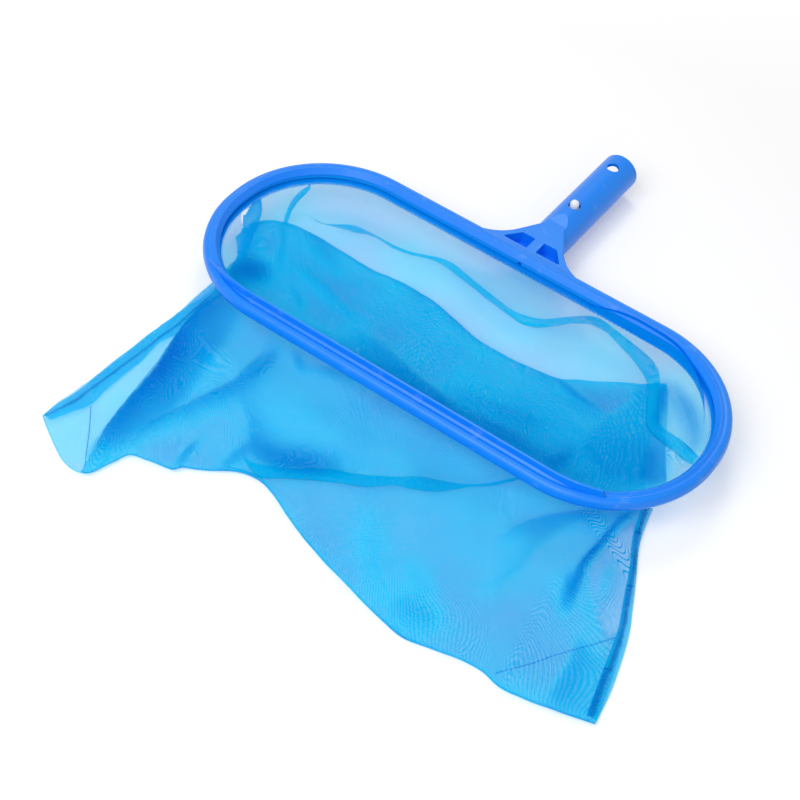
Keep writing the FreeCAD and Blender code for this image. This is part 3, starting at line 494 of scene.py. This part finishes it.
def crease_and_shade_effect(xy):
    """Height and closeness of threads that the creases and the bands of painted shade give at each point."""
    lift = np.zeros(len(xy))
    close = np.zeros(len(xy))
    for points, reach_left, reach_right, height, share in CREASES_AND_SHADE:
        line = through([(x, y, 0) for x, y in points], CREASE_POINTS)[:, :2]
        low = line.min(axis=0) - CREASE_MARGIN
        high = line.max(axis=0) + CREASE_MARGIN
        near = ((xy > low) & (xy < high)).all(axis=1)
        apart = xy[near][:, None, :] - line[None, :, :]
        gap = np.linalg.norm(apart, axis=2)
        nearest = gap.argmin(axis=1)
        ahead = np.gradient(line, axis=0)[nearest]
        across = apart[np.arange(len(nearest)), nearest]
        is_left = ahead[:, 0] * across[:, 1] - ahead[:, 1] * across[:, 0] > 0
        reach = np.where(is_left, reach_left, reach_right)
        # A crease fades out at both ends
        fade = np.sin(np.pi * np.clip(nearest / (CREASE_POINTS - 1), 0.02, 0.98)) ** 0.6
        ridge = np.exp(-((gap.min(axis=1) / reach) ** 2)) * fade
        lift[near] += height * ridge
        close[near] += share * ridge
    return lift, close


def ripple(points, seed, size):
    """Soft unevenness of lying cloth at each point, between about -1 and 1."""
    offset = Vector((seed * 13.7, seed * 7.1, seed * 3.3))
    roughness, finer_by, octaves = 1.0, 2.1, 3
    out = np.empty(len(points))
    for i, (x, y, _) in enumerate(points):
        spot = Vector((x / size, y / size, 0)) + offset
        out[i] = noise.fractal(spot, roughness, finer_by, octaves)
    return out


def grid_lengths(rows, axis):
    """Length up to each point of a grid, down its columns (axis 0) or along its rows (axis 1)."""
    steps = np.diff(rows, axis=axis, prepend=rows.take([0], axis=axis))
    return np.cumsum(np.linalg.norm(steps, axis=2), axis=axis)


def turned_weave(across, along, turn):
    """Flat coordinates of a cut whose threads run at an angle to it."""
    u = across * math.cos(turn) - along * math.sin(turn)
    v = across * math.sin(turn) + along * math.cos(turn)
    return np.stack(np.broadcast_arrays(u, v), axis=2)


def panel(lines, slant, seed, first_length, turn):
    """Grid of a panel through its lines, each given with its closeness of threads.

    It gives the points, their flat coordinates and their closeness. The flat coordinates are real lengths,
    so the threads keep their pitch everywhere.
    """
    grid = loft([np.c_[through(line, COLUMNS, slant), np.full(COLUMNS, near)] for line, near in lines])
    rows = grid[..., :3]
    points = rows.reshape(-1, 3).copy()
    lift, creased_and_shade = crease_and_shade_effect(points[:, :2])
    lying = ramp(HANG_TOP - points[:, 2], 0, HANG_DEPTH)
    points[:, 2] += lying * (lift + SWELL_HEIGHT * (ripple(points, 1, SWELL_REACH) + 0.5))
    points[:, 2] += lying * RIPPLE_HEIGHT * ripple(points, seed, RIPPLE_REACH)
    points[:, 2] = np.maximum(points[:, 2], CLOTH_LOWEST)
    clouds = CLOUD_CLOSENESS * ripple(points, seed + 4, CLOUD_REACH)
    # Closeness from the lines, creases, patches and clouds; the weave also turns it into painted shade
    close = grid[..., 3].reshape(-1) + creased_and_shade + patch_effect(points[:, :2]) + clouds
    across = grid_lengths(rows, 1)
    across -= across[:, COLUMNS // 2 : COLUMNS // 2 + 1]
    along = grid_lengths(rows, 0)
    uv = turned_weave(across * MM, first_length + along * MM, turn)
    return points.reshape(rows.shape), uv, close.reshape(rows.shape[:2])


def new_object(name, verts, faces):
    """Smooth mesh object in the scene, from points in metres."""
    mesh = bpy.data.meshes.new(name)
    mesh.from_pydata([tuple(v) for v in verts], [], faces)
    mesh.polygons.foreach_set("use_smooth", [True] * len(mesh.polygons))
    obj = bpy.data.objects.new(name, mesh)
    bpy.context.scene.collection.objects.link(obj)
    return obj


def cloth_object(name, grids):
    """One mesh object from grids of points, with their flat coordinates in metres and their closeness, which
    the weave also turns into painted light and shade.
    """
    verts, faces, uvs, close = [], [], [], []
    for points, uv, near in grids:
        base = len(verts)
        n_rows, n_cols = points.shape[:2]
        verts += list(place(points.reshape(-1, 3)))
        uvs += list(uv.reshape(-1, 2))
        close += list(near.reshape(-1))
        for r in range(n_rows - 1):
            for c in range(n_cols - 1):
                i = base + r * n_cols + c
                faces.append((i, i + 1, i + n_cols + 1, i + n_cols))
    obj = new_object(name, verts, faces)
    mesh = obj.data
    layer = mesh.uv_layers.new(name="flat")
    loop_verts = np.empty(len(mesh.loops), np.int32)
    mesh.loops.foreach_get("vertex_index", loop_verts)
    layer.data.foreach_set("uv", np.array(uvs, np.float32)[loop_verts].reshape(-1))
    # Closeness of threads, which also paints light and shade through the weave's colours
    gathered_light_and_shade = mesh.attributes.new("gathered_light_and_shade", "FLOAT", "POINT")
    gathered_light_and_shade.data.foreach_set("value", np.array(close, np.float32))
    return obj


def unit(directions):
    """The directions, each with length 1."""
    return directions / np.linalg.norm(directions, axis=1)[:, None]


def tubes(name, paths, radius):
    """Thin round threads along the paths, which are in millimetres."""
    verts, faces = [], []
    for path in paths:
        p = np.array(path, float)
        ahead = unit(np.gradient(p, axis=0))
        side = unit(np.cross(ahead, (0, 0, 1.0)))
        top = np.cross(side, ahead)
        base = len(verts)
        for k in range(len(p)):
            for j in range(TUBE_SIDES):
                a = 2 * math.pi * j / TUBE_SIDES
                verts.append(p[k] + radius * (math.cos(a) * side[k] + math.sin(a) * top[k]))
        for k in range(len(p) - 1):
            for j in range(TUBE_SIDES):
                i = base + k * TUBE_SIDES
                n = (j + 1) % TUBE_SIDES
                faces.append((i + j, i + n, i + TUBE_SIDES + n, i + TUBE_SIDES + j))
        faces.append(tuple(base + j for j in reversed(range(TUBE_SIDES))))
        faces.append(tuple(base + (len(p) - 1) * TUBE_SIDES + j for j in range(TUBE_SIDES)))
    return new_object(name, place(verts), faces)


def new_material(name):
    """Empty node material, its node tree and its output node."""
    material = bpy.data.materials.new(name)
    material.use_nodes = True
    tree = material.node_tree
    tree.nodes.clear()
    return material, tree, tree.nodes.new("ShaderNodeOutputMaterial")


def feed(tree, socket, value):
    """Links a socket to another one, or sets it to a number or to a colour without alpha."""
    if isinstance(value, bpy.types.NodeSocket):
        tree.links.new(value, socket)
    elif isinstance(value, tuple):
        socket.default_value = (*value, 1)
    else:
        socket.default_value = value


def math_node(tree, operation, *values):
    """Result of a math node on sockets or numbers."""
    node = tree.nodes.new("ShaderNodeMath")
    node.operation = operation
    for socket, value in zip(node.inputs, values):
        feed(tree, socket, value)
    return node.outputs[0]


def clamped(result):
    """The result of a math node, kept between 0 and 1."""
    result.node.use_clamp = True
    return result


def noise_node(tree, scale, detail, stretch=(1, 1, 1)):
    """Noise in the object's own metres, stretched if need be."""
    place_node = tree.nodes.new("ShaderNodeTexCoord")
    mapping = tree.nodes.new("ShaderNodeMapping")
    mapping.inputs["Scale"].default_value = stretch
    tree.links.new(place_node.outputs["Object"], mapping.inputs["Vector"])
    node = tree.nodes.new("ShaderNodeTexNoise")
    node.inputs["Scale"].default_value = scale
    node.inputs["Detail"].default_value = detail
    tree.links.new(mapping.outputs[0], node.inputs["Vector"])
    return node.outputs["Fac"]


def range_node(tree, value, low, high, start=0.0, end=1.0):
    """The value spread between low and high, where it runs from start to end."""
    node = tree.nodes.new("ShaderNodeMapRange")
    node.inputs["From Min"].default_value = start
    node.inputs["From Max"].default_value = end
    node.inputs["To Min"].default_value = low
    node.inputs["To Max"].default_value = high
    tree.links.new(value, node.inputs["Value"])
    return node.outputs[0]


def colour_between(tree, factor, first, second):
    """Colour that runs from the first to the second with the factor. Either may be a socket."""
    node = tree.nodes.new("ShaderNodeMix")
    node.data_type = "RGBA"
    feed(tree, node.inputs["A"], first)
    feed(tree, node.inputs["B"], second)
    tree.links.new(factor, node.inputs["Factor"])
    return node.outputs["Result"]


def shader_between(tree, factor, first, second):
    """Shader that runs from the first to the second with the factor."""
    node = tree.nodes.new("ShaderNodeMixShader")
    feed(tree, node.inputs["Fac"], factor)
    tree.links.new(first, node.inputs[1])
    tree.links.new(second, node.inputs[2])
    return node.outputs[0]


def plastic(name, dark, light, rough, gloss, scuff=0.0):
    """Moulded plastic: slight clouds in its colour and gloss, a fine grain, and pale dull scuffs."""
    material, tree, out = new_material(name)
    shader = tree.nodes.new("ShaderNodeBsdfPrincipled")
    tree.links.new(shader.outputs[0], out.inputs["Surface"])
    shader.inputs["IOR"].default_value = PLASTIC_IOR
    shader.inputs["Specular IOR Level"].default_value = gloss
    colour = colour_between(tree, noise_node(tree, *CLOUDS), dark, light)
    spots = noise_node(tree, *ROUGH_SPOTS)
    roughness = range_node(tree, spots, rough - ROUGH_SPREAD, rough + ROUGH_SPREAD)
    if scuff:
        worn = range_node(tree, noise_node(tree, *SCUFFS), 0.0, scuff, *SCUFF_LEVELS)
        colour = colour_between(tree, worn, colour, SCUFF_COLOUR)
        roughness = math_node(tree, "MULTIPLY_ADD", worn, SCUFF_ROUGHNESS, roughness)
    tree.links.new(colour, shader.inputs["Base Color"])
    tree.links.new(roughness, shader.inputs["Roughness"])
    bump = tree.nodes.new("ShaderNodeBump")
    bump.inputs["Distance"].default_value = GRAIN_DEPTH_M
    tree.links.new(noise_node(tree, *GRAIN), bump.inputs["Height"])
    tree.links.new(bump.outputs[0], shader.inputs["Normal"])
    return material


def steel(name):
    """Spring steel strip, brushed along its length."""
    material, tree, out = new_material(name)
    shader = tree.nodes.new("ShaderNodeBsdfPrincipled")
    tree.links.new(shader.outputs[0], out.inputs["Surface"])
    shader.inputs["Metallic"].default_value = 1
    streaks = noise_node(tree, *BRUSHING)
    colour = colour_between(tree, streaks, (0.48, 0.49, 0.5), (0.66, 0.67, 0.69))
    tree.links.new(colour, shader.inputs["Base Color"])
    tree.links.new(range_node(tree, streaks, *BRUSHED_ROUGHNESS), shader.inputs["Roughness"])
    return material


def thread_mask(tree, along, half_width, seed):
    """1 on the threads that cross one direction, 0 between them. Each lies a little off its even place."""
    steps = math_node(tree, "DIVIDE", along, THREAD_PITCH)
    chance = tree.nodes.new("ShaderNodeTexWhiteNoise")
    chance.noise_dimensions = "1D"
    tree.links.new(math_node(tree, "ADD", math_node(tree, "FLOOR", steps), seed), chance.inputs["W"])
    luck = chance.outputs["Value"]
    # A second chance of its own comes from the finer digits of the first
    second_luck = math_node(tree, "FRACT", math_node(tree, "MULTIPLY", luck, 17.3))
    thickness = range_node(tree, second_luck, *THREAD_THICKNESS)
    half_width = math_node(tree, "MULTIPLY", half_width, thickness)
    room = math_node(tree, "MULTIPLY_ADD", half_width, -2 * THREAD_SHIFT, THREAD_SHIFT)
    shift = math_node(tree, "MULTIPLY", math_node(tree, "SUBTRACT", luck, 0.5), room)
    place_in = math_node(tree, "SUBTRACT", math_node(tree, "FRACT", steps), 0.5)
    apart = math_node(tree, "ABSOLUTE", math_node(tree, "SUBTRACT", place_in, shift))
    return math_node(tree, "LESS_THAN", apart, half_width)


def weave(name, single, doubled_painted_light, deep_shade, share):
    """Woven mesh: threads with open gaps between them.

    Where the cloth is gathered they are wider, and their colour runs from that of a single layer to that
    of a doubled one, which on the mesh is painted light against the shade that upper layers cast on lower
    ones, and on to the deep one, which is painted shade of folds, creases and the rail's shadow.
    """
    material, tree, out = new_material(name)
    flat = tree.nodes.new("ShaderNodeUVMap")
    flat.uv_map = "flat"
    parts = tree.nodes.new("ShaderNodeSeparateXYZ")
    tree.links.new(flat.outputs[0], parts.inputs[0])
    attribute = tree.nodes.new("ShaderNodeAttribute")
    attribute.attribute_name = "gathered_light_and_shade"
    gathered_light_and_shade = attribute.outputs["Fac"]
    half_width = math_node(tree, "MULTIPLY_ADD", gathered_light_and_shade, GATHERED_WIDTH, share / 2)
    across = thread_mask(tree, parts.outputs["X"], half_width, 0.0)
    along = thread_mask(tree, parts.outputs["Y"], half_width, 7000.0)
    thread = math_node(tree, "MAXIMUM", across, along)
    clouds = range_node(tree, noise_node(tree, *DYE_CLOUDS), -DYE_SPREAD, DYE_SPREAD)
    # Painted shade: the colour deepens where the cloth is gathered, with random clouds in the dye
    shade_and_dye = clamped(math_node(tree, "MULTIPLY_ADD", gathered_light_and_shade, GATHERED_SHADE, clouds))
    painted_light = clamped(math_node(tree, "MULTIPLY", gathered_light_and_shade, GATHERED_PAINTED_LIGHT))
    # Painted light: where layers lie doubled the colour turns to the doubled one, lighter on the mesh against
    # the shade of the layer above
    colour = colour_between(tree, shade_and_dye, colour_between(tree, painted_light, single, doubled_painted_light), deep_shade)
    front_light = tree.nodes.new("ShaderNodeBsdfPrincipled")
    front_light.inputs["Roughness"].default_value = 0.6
    front_light.inputs["Specular IOR Level"].default_value = 0.04
    front_light.inputs["Sheen Weight"].default_value = 0.1
    front_light.inputs["Sheen Roughness"].default_value = 0.4
    front_light.inputs["Sheen Tint"].default_value = (*SHEEN_COLOUR, 1)
    tree.links.new(colour, front_light.inputs["Base Color"])
    back_light = tree.nodes.new("ShaderNodeBsdfTranslucent")
    tree.links.new(colour, back_light.inputs["Color"])
    yarn = shader_between(tree, 0.5, front_light.outputs[0], back_light.outputs[0])
    gap = tree.nodes.new("ShaderNodeBsdfTransparent")
    cloth = shader_between(tree, thread, gap.outputs[0], yarn)
    tree.links.new(cloth, out.inputs["Surface"])
    return material


def put(obj, material):
    """Gives the whole object one material."""
    obj.data.materials.clear()
    obj.data.materials.append(material)


# Plastics and thread: dark and light colour, roughness, gloss and scuffs
blue_plastic = plastic("blue_plastic", (0.0, 0.22, 0.94), (0.004, 0.27, 1.0), 0.32, 0.38, scuff=0.5)
# The bead's plastic is painted lighter than the rail's, to make up for the shade in its groove
bead_plastic_painted_light = plastic("bead_plastic_painted_light", (0.0, 0.36, 1.0), (0.004, 0.44, 1.0), 0.5, 0.3)
white_plastic = plastic("white_plastic", (0.9, 0.91, 0.93), (0.96, 0.97, 0.98), 0.28, 0.5)
clip_steel = steel("clip_steel")
# Weaves: colour of one layer, of doubled layers (painted lighter on the mesh against the shade of the layer
# above), of deep folds (painted shade), and the share that threads cover
mesh_weave = weave("mesh_weave", (0.0, 0.51, 0.86), (0.0, 0.77, 0.98), (0.0, 0.22, 0.76), THREAD_SHARE)
# The hem's weave is painted lighter, to make up for the rail's shadow on the hem
hem_weave_painted_light = weave("hem_weave_painted_light", (0.0, 0.5, 1.0), (0.0, 0.48, 1.0), (0.0, 0.22, 0.8), 0.75)
seam_weave = weave("seam_weave", (0.0, 0.64, 0.97), (0.0, 0.6, 0.95), (0.0, 0.3, 0.8), 0.5)
thread_blue = plastic("thread_blue", (0.0, 0.2, 0.76), (0.0, 0.28, 0.88), 0.6, 0.1)

FINISHES = {
    "frame_moulding": blue_plastic,
    "front_lip": blue_plastic,
    "retaining_bead": bead_plastic_painted_light,
    "clip_bow": clip_steel,
    "clip_leg_upper": clip_steel,
    "clip_leg_lower": clip_steel,
    "lock_button_upper": white_plastic,
    "lock_button_lower": white_plastic,
}
for node, finish in FINISHES.items():
    put(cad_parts[node], finish)


def make_bag():
    """The mesh bag: its back panel, its front panel folded back into the loop, and the left flap."""
    hem_height = RAIL_FOOT - HEM_DROP
    below_hem = loop_path(HEM_LINE + 4, 15, 1, 9, 7)
    # Each line comes with how much closer the threads lie on it
    back = [
        (loop_path(HEM_EDGE, hem_height, 1, *HEM_BEHIND_ENDS), 0),
        (below_hem, 0),
        (STRIP_NEAR, 0.04),
        (STRIP_FAR, 0.04),
        (BACK_FLOOR, 0),
        (BACK_INSIDE, 0),
        (UNDER_RAIL, 0.03),
        (BACK_OUTSIDE, 0.04),
        (BACK_MIDDLE, 0),
        ([(x, y + 2, h) for x, y, h in BOTTOM], 0.02),
        (BOTTOM, 0.3),
    ]
    front = [
        (FRONT_BOTTOM, 0.3),
        ([(x, y - 0.7, 1.6) for x, y, _ in FRONT_BOTTOM], 0.25),
        ([(x, y + 1.5, 2.4) for x, y, _ in FRONT_BOTTOM], 0.03),
        (FRONT_LOW, 0.02),
        (PLEAT_FAR, 0.08),
        (PLEAT_NEAR, 0.1),
        (FRONT_OUTSIDE, 0.08),
        (FRONT_UNDER_RAIL, 0.08),
        (FRONT_FLOOR, 0.03),
        (FOLD, 0.12),
        *zip(SLACK_LINES, (0.03, 0.03, 0.05, 0.08)),
        (loop_path(HEM_EDGE, hem_height, -1, *HEM_FRONT_ENDS), 0.05),
    ]
    # The flap hangs from the hem in the left bend only
    left_hem = [p for p in loop_path(HEM_EDGE, hem_height, -1, -6, -6) if p[0] < -146]
    left = [(left_hem, 0), *zip(LEFT_FLAP, (0, 0.1))]
    return cloth_object("bag_cloth", [
        panel(back, slant=1.0, seed=2, first_length=0.0, turn=0.0),
        panel(front, slant=FRONT_SLANT, seed=3, first_length=FRONT_START, turn=FRONT_WEAVE_TURN),
        panel(left, slant=1.0, seed=5, first_length=LEFT_FLAP_START, turn=FRONT_WEAVE_TURN),
    ])


def laid_on(points, tree, lift):
    """The points, in millimetres, set down on the cloth below them."""
    above = 4
    reach = 12
    laid = []
    for x, y, h in points:
        start = Vector(tuple(place((x, y, h + above))))
        hit = tree.ray_cast(start, Vector((0, 0, -1)), reach * MM)[0]
        height = h if hit is None else (hit.z - FLOOR_Z) / MM
        laid.append((x, y, height + lift))
    return np.array(laid)


def sideways(line, distance):
    """The line moved sideways over the floor, to its left where distance is above 0."""
    ahead = unit(np.gradient(line[:, :2], axis=0))
    moved = line.copy()
    moved[:, 0] -= ahead[:, 1] * distance
    moved[:, 1] += ahead[:, 0] * distance
    return moved


def band(first, second, closer, rows=5):
    """Grid of a narrow band between two lines of as many points, closer[0] to closer[1] across it."""
    share = np.linspace(0, 1, rows)[:, None]
    points = first[None] + (second - first)[None] * share[..., None]
    width = np.linalg.norm(second - first, axis=1).mean() * MM
    uv = turned_weave(lengths(first)[None, :] * MM, share * width, BAND_WEAVE_TURN)
    close = np.broadcast_to(closer[0] + (closer[1] - closer[0]) * share, points.shape[:2])
    return points, uv, close


def dashes(line, length, gap):
    """Short stitches along a line of points, each raised in its middle."""
    along = lengths(line)
    paths = []
    start = 0.0
    while start + length < along[-1]:
        path = points_at(np.linspace(start, start + length, 3), along, line)
        path[1, 2] += STITCH_BULGE
        paths.append(path)
        start += length + gap
    return paths


def overlock(line, width, pitch):
    """Zigzag thread over a line, a little uneven and a little above it."""
    along = lengths(line)
    count = int(along[-1] / pitch) * 2
    middle = points_at(np.linspace(0, along[-1], count), along, line)
    uneven = np.array([noise.noise(Vector((k * 0.37, 1.0, 0.5))) for k in range(count)])
    side = np.where(np.arange(count) % 2, 1, -1) * width / 2 * (1 + OVERLOCK_UNEVENNESS * uneven)
    return sideways(middle, side) + OVERLOCK_LIFT


def sewn(obj, node, material):
    """Makes a sewn piece ride with the net in place of its node."""
    put(obj, material)
    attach(obj, "root")
    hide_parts(node)
    return obj


def hanging_band(edge_points, fold_points):
    """Loose inner end of a seam, which hangs from the hem with a jagged edge."""
    edge = through(edge_points, SEAM_POINTS)
    fold = through(fold_points, SEAM_POINTS)
    uneven = np.array([noise.noise(Vector((k * 0.16, 3.1, 0))) for k in range(SEAM_POINTS)])
    edge += uneven[:, None] * HANGING_JAG
    points, uv, close = band(edge, fold, (0.05, 0.0), 7)
    gathered_above = 0.3 * np.linspace(1, 0, SEAM_POINTS) ** 2
    return points + HANGING_LIFT, uv, close + gathered_above[None, :]


def make_seam(name, line, outer, inner, cloth, closer, stitch, hanging):
    """Overlocked side seam: its band, its zigzag thread, and its hanging inner end if it has one.

    Its closeness is given at its outer edge, its line and its inner edge, and its stitch as width and pitch.
    """
    middle = laid_on(through(line, SEAM_POINTS), cloth, SEAM_LIFT)
    outer_edge = laid_on(through(outer, SEAM_POINTS), cloth, SEAM_OUTER_LIFT)
    inner_edge = laid_on(through(inner, SEAM_POINTS), cloth, SEAM_INNER_LIFT)
    grids = [band(outer_edge, middle, closer[:2]), band(middle, inner_edge, closer[1:])]
    if hanging:
        grids.append(hanging_band(*hanging))
    seam = sewn(cloth_object("seam_" + name, grids), "side_seam_" + name, seam_weave)
    zigzag = tubes("overlock_" + name, [overlock(middle, *stitch)], OVERLOCK_RADIUS)
    sewn(zigzag, "seam_stitch_" + name, thread_blue)
    return [seam, zigzag]


def make_corner_stitch(name, line, cloth):
    """Row of stitches across a bottom corner."""
    path = laid_on(through(line, SHORT_CURVE), cloth, CORNER_LIFT)
    stitch = tubes("corner_" + name, dashes(path, length=2.4, gap=0.5), CORNER_RADIUS)
    return sewn(stitch, "corner_stitch_" + name, thread_blue)


def make_tuck(cloth):
    """Narrow folded tuck that hangs from the hem behind on the left."""
    middle = through(TUCK, SHORT_CURVE)
    # It starts narrow at the hem, and its threads lie closest at half its length
    half = TUCK_WIDTH * ramp(np.linspace(0, 1, SHORT_CURVE), -0.4, 0.5) / 2
    left, right = (laid_on(sideways(middle, side * half), cloth, SEAM_LIFT) for side in (1, -1))
    fade = 0.12 * np.sin(np.linspace(0, math.pi, SHORT_CURVE))[None, :] ** 0.5
    points, uv, close = band(left, right, (0.06, -0.04), 6)
    lower = (points, uv, close + fade)
    upper = (points + TUCK_LIFT, uv[..., ::-1], close + fade)
    tuck = cloth_object("tuck_cloth", [lower, upper])
    put(tuck, mesh_weave)
    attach(tuck, "root")
    return tuck


def half_loop(inset, height, side):
    """Line round the back half of the loop (side 1) or its front half (side -1)."""
    return loop_path(inset, height, side, 0, 0)


def make_hem():
    """The doubled edge of the bag, which comes out of the rail's groove and stands up behind on the right."""
    grids = []
    for side in (1, -1):
        foot = through(half_loop(HEM_EDGE, RAIL_FOOT - HEM_DROP - 0.4, side), HEM_POINTS)
        turn = through(half_loop(HEM_LINE, RAIL_FOOT + 0.8, side), HEM_POINTS)
        top = through(half_loop(RAIL_WIDTH - 1, RAIL_FOOT + 2.6, side), HEM_POINTS)
        grids.append(band(foot, turn, (-0.1, 0.15)))
        grids.append(band(turn, top, (0.2, 0.2)))
    flap_foot = through(FLAP_FOOT, FLAP_POINTS)
    flap_top = through(FLAP_TOP, FLAP_POINTS)
    points, uv, close = band(flap_foot, flap_top, (0.0, 0.0), 9)
    # The flap's threads lie closer on its two upper rows only
    close = close + np.array([0, 0, 0, 0, 0, 0, 0, 0.3, 0.6])[:, None]
    grids.append((points, uv, close))
    hem = sewn(cloth_object("hem_cloth", grids), "hem_band", hem_weave_painted_light)
    behind, ahead = (half_loop(HEM_LINE + 0.6, RAIL_FOOT - 1.2, side) for side in (1, -1))
    stitch_line = through(behind + ahead[-2::-1], HEM_STITCH_POINTS)
    row = tubes("hem_threads", dashes(stitch_line, length=2.2, gap=1.1), HEM_THREAD_RADIUS)
    sewn(row, "hem_stitch", thread_blue)
    return [hem, row]


bag = sewn(make_bag(), "mesh_bag", mesh_weave)
bag_tree = BVHTree.FromPolygons([v.co for v in bag.data.vertices], [p.vertices for p in bag.data.polygons])
right_inner = [(x - 2.4, y - 1.0, h) for x, y, h in RIGHT_SEAM]
on_bag = [
    *make_hem(),
    make_tuck(bag_tree),
    *make_seam(
        "left", LEFT_SEAM, LEFT_OUTER, LEFT_INNER, bag_tree,
        closer=(0.06, 0.02, 0.0), stitch=(2.0, 1.8), hanging=(LEFT_HANGING_EDGE, LEFT_HANGING_FOLD),
    ),
    *make_seam(
        "right", RIGHT_SEAM, RIGHT_OUTER, right_inner, bag_tree,
        closer=(0.0, 0.12, 0.22), stitch=(3.6, 1.5), hanging=None,
    ),
    make_corner_stitch("left", CORNER_LEFT, bag_tree),
    make_corner_stitch("right", CORNER_RIGHT, bag_tree),
]


def make_camera():
    """Camera at the photograph's viewing angle."""
    away = Vector((
        math.sin(CAMERA_TURN) * math.cos(CAMERA_RAISE),
        -math.cos(CAMERA_TURN) * math.cos(CAMERA_RAISE),
        math.sin(CAMERA_RAISE),
    ))
    right = (-away).cross(Vector((0, 0, 1))).normalized()
    up = right.cross(-away)
    rolled_right = math.cos(CAMERA_ROLL) * right + math.sin(CAMERA_ROLL) * up
    rolled_up = -math.sin(CAMERA_ROLL) * right + math.cos(CAMERA_ROLL) * up
    data = bpy.data.cameras.new("camera")
    data.lens = CAMERA_LENS
    data.sensor_width = CAMERA_SENSOR
    camera = bpy.data.objects.new("camera", data)
    camera.matrix_world = Matrix((
        (rolled_right.x, rolled_up.x, away.x, 0),
        (rolled_right.y, rolled_up.y, away.y, 0),
        (rolled_right.z, rolled_up.z, away.z, 0),
        (0, 0, 0, 1),
    ))
    camera.location = CAMERA_TARGET + away * CAMERA_DISTANCE
    bpy.context.scene.collection.objects.link(camera)
    bpy.context.scene.camera = camera


def seen_directly(tree):
    """1 for what is looked at straight, in a reflection or through something clear, and 0 for other light."""
    rays = tree.nodes.new("ShaderNodeLightPath")
    seen = math_node(tree, "MAXIMUM", rays.outputs["Is Camera Ray"], rays.outputs["Is Glossy Ray"])
    return math_node(tree, "MAXIMUM", seen, rays.outputs["Is Transmission Ray"])


def floor_white():
    """White that keeps shadows, and glows a little more with its distance from the net."""
    material, tree, out = new_material("floor_white")
    diffuse = tree.nodes.new("ShaderNodeBsdfDiffuse")
    diffuse.inputs["Color"].default_value = (*FLOOR_COLOUR, 1)
    spot = tree.nodes.new("ShaderNodeNewGeometry")
    away = tree.nodes.new("ShaderNodeVectorMath")
    away.operation = "DISTANCE"
    away.inputs[1].default_value = (0, LOOP_Y, FLOOR_Z)
    tree.links.new(spot.outputs["Position"], away.inputs[0])
    strength = range_node(tree, away.outputs["Value"], *FLOOR_GLOW, *FLOOR_GLOW_DISTANCES)
    glow = tree.nodes.new("ShaderNodeEmission")
    tree.links.new(math_node(tree, "MULTIPLY", seen_directly(tree), strength), glow.inputs["Strength"])
    both = tree.nodes.new("ShaderNodeAddShader")
    tree.links.new(diffuse.outputs[0], both.inputs[0])
    tree.links.new(glow.outputs[0], both.inputs[1])
    tree.links.new(both.outputs[0], out.inputs["Surface"])
    return material


def make_floor():
    """Wide floor under the net."""
    signs = [(-1, -1), (1, -1), (1, 1), (-1, 1)]
    corners = [(FLOOR_HALF * x, FLOOR_HALF * y + LOOP_Y, FLOOR_Z) for x, y in signs]
    floor = new_object("floor", corners, [(0, 1, 2, 3)])
    put(floor, floor_white())


def make_lamp(name, place_m, size, power):
    """Soft square lamp that looks at the net's middle."""
    data = bpy.data.lights.new(name, "AREA")
    data.shape = "SQUARE"
    data.size = size
    data.energy = power
    lamp = bpy.data.objects.new(name, data)
    lamp.location = place_m
    aim = Vector((0, LOOP_Y, 0)) - Vector(place_m)
    lamp.rotation_euler = aim.to_track_quat("-Z", "Y").to_euler()
    bpy.context.scene.collection.objects.link(lamp)


def make_light():
    """Pale surroundings and soft studio lamps."""
    world = bpy.data.worlds.new("studio")
    bpy.context.scene.world = world
    world.use_nodes = True
    tree = world.node_tree
    shade = tree.nodes["Background"]
    seen = seen_directly(tree)
    strength = math_node(tree, "MULTIPLY_ADD", seen, SURROUNDINGS_SEEN, SURROUNDINGS_LIGHT)
    tree.links.new(strength, shade.inputs["Strength"])
    shade.inputs["Color"].default_value = (1, 1, 1, 1)
    for name, lamp in LAMPS.items():
        make_lamp(name, *lamp)


make_camera()
make_floor()
make_light()
bpy.context.scene.view_settings.view_transform = "Standard"
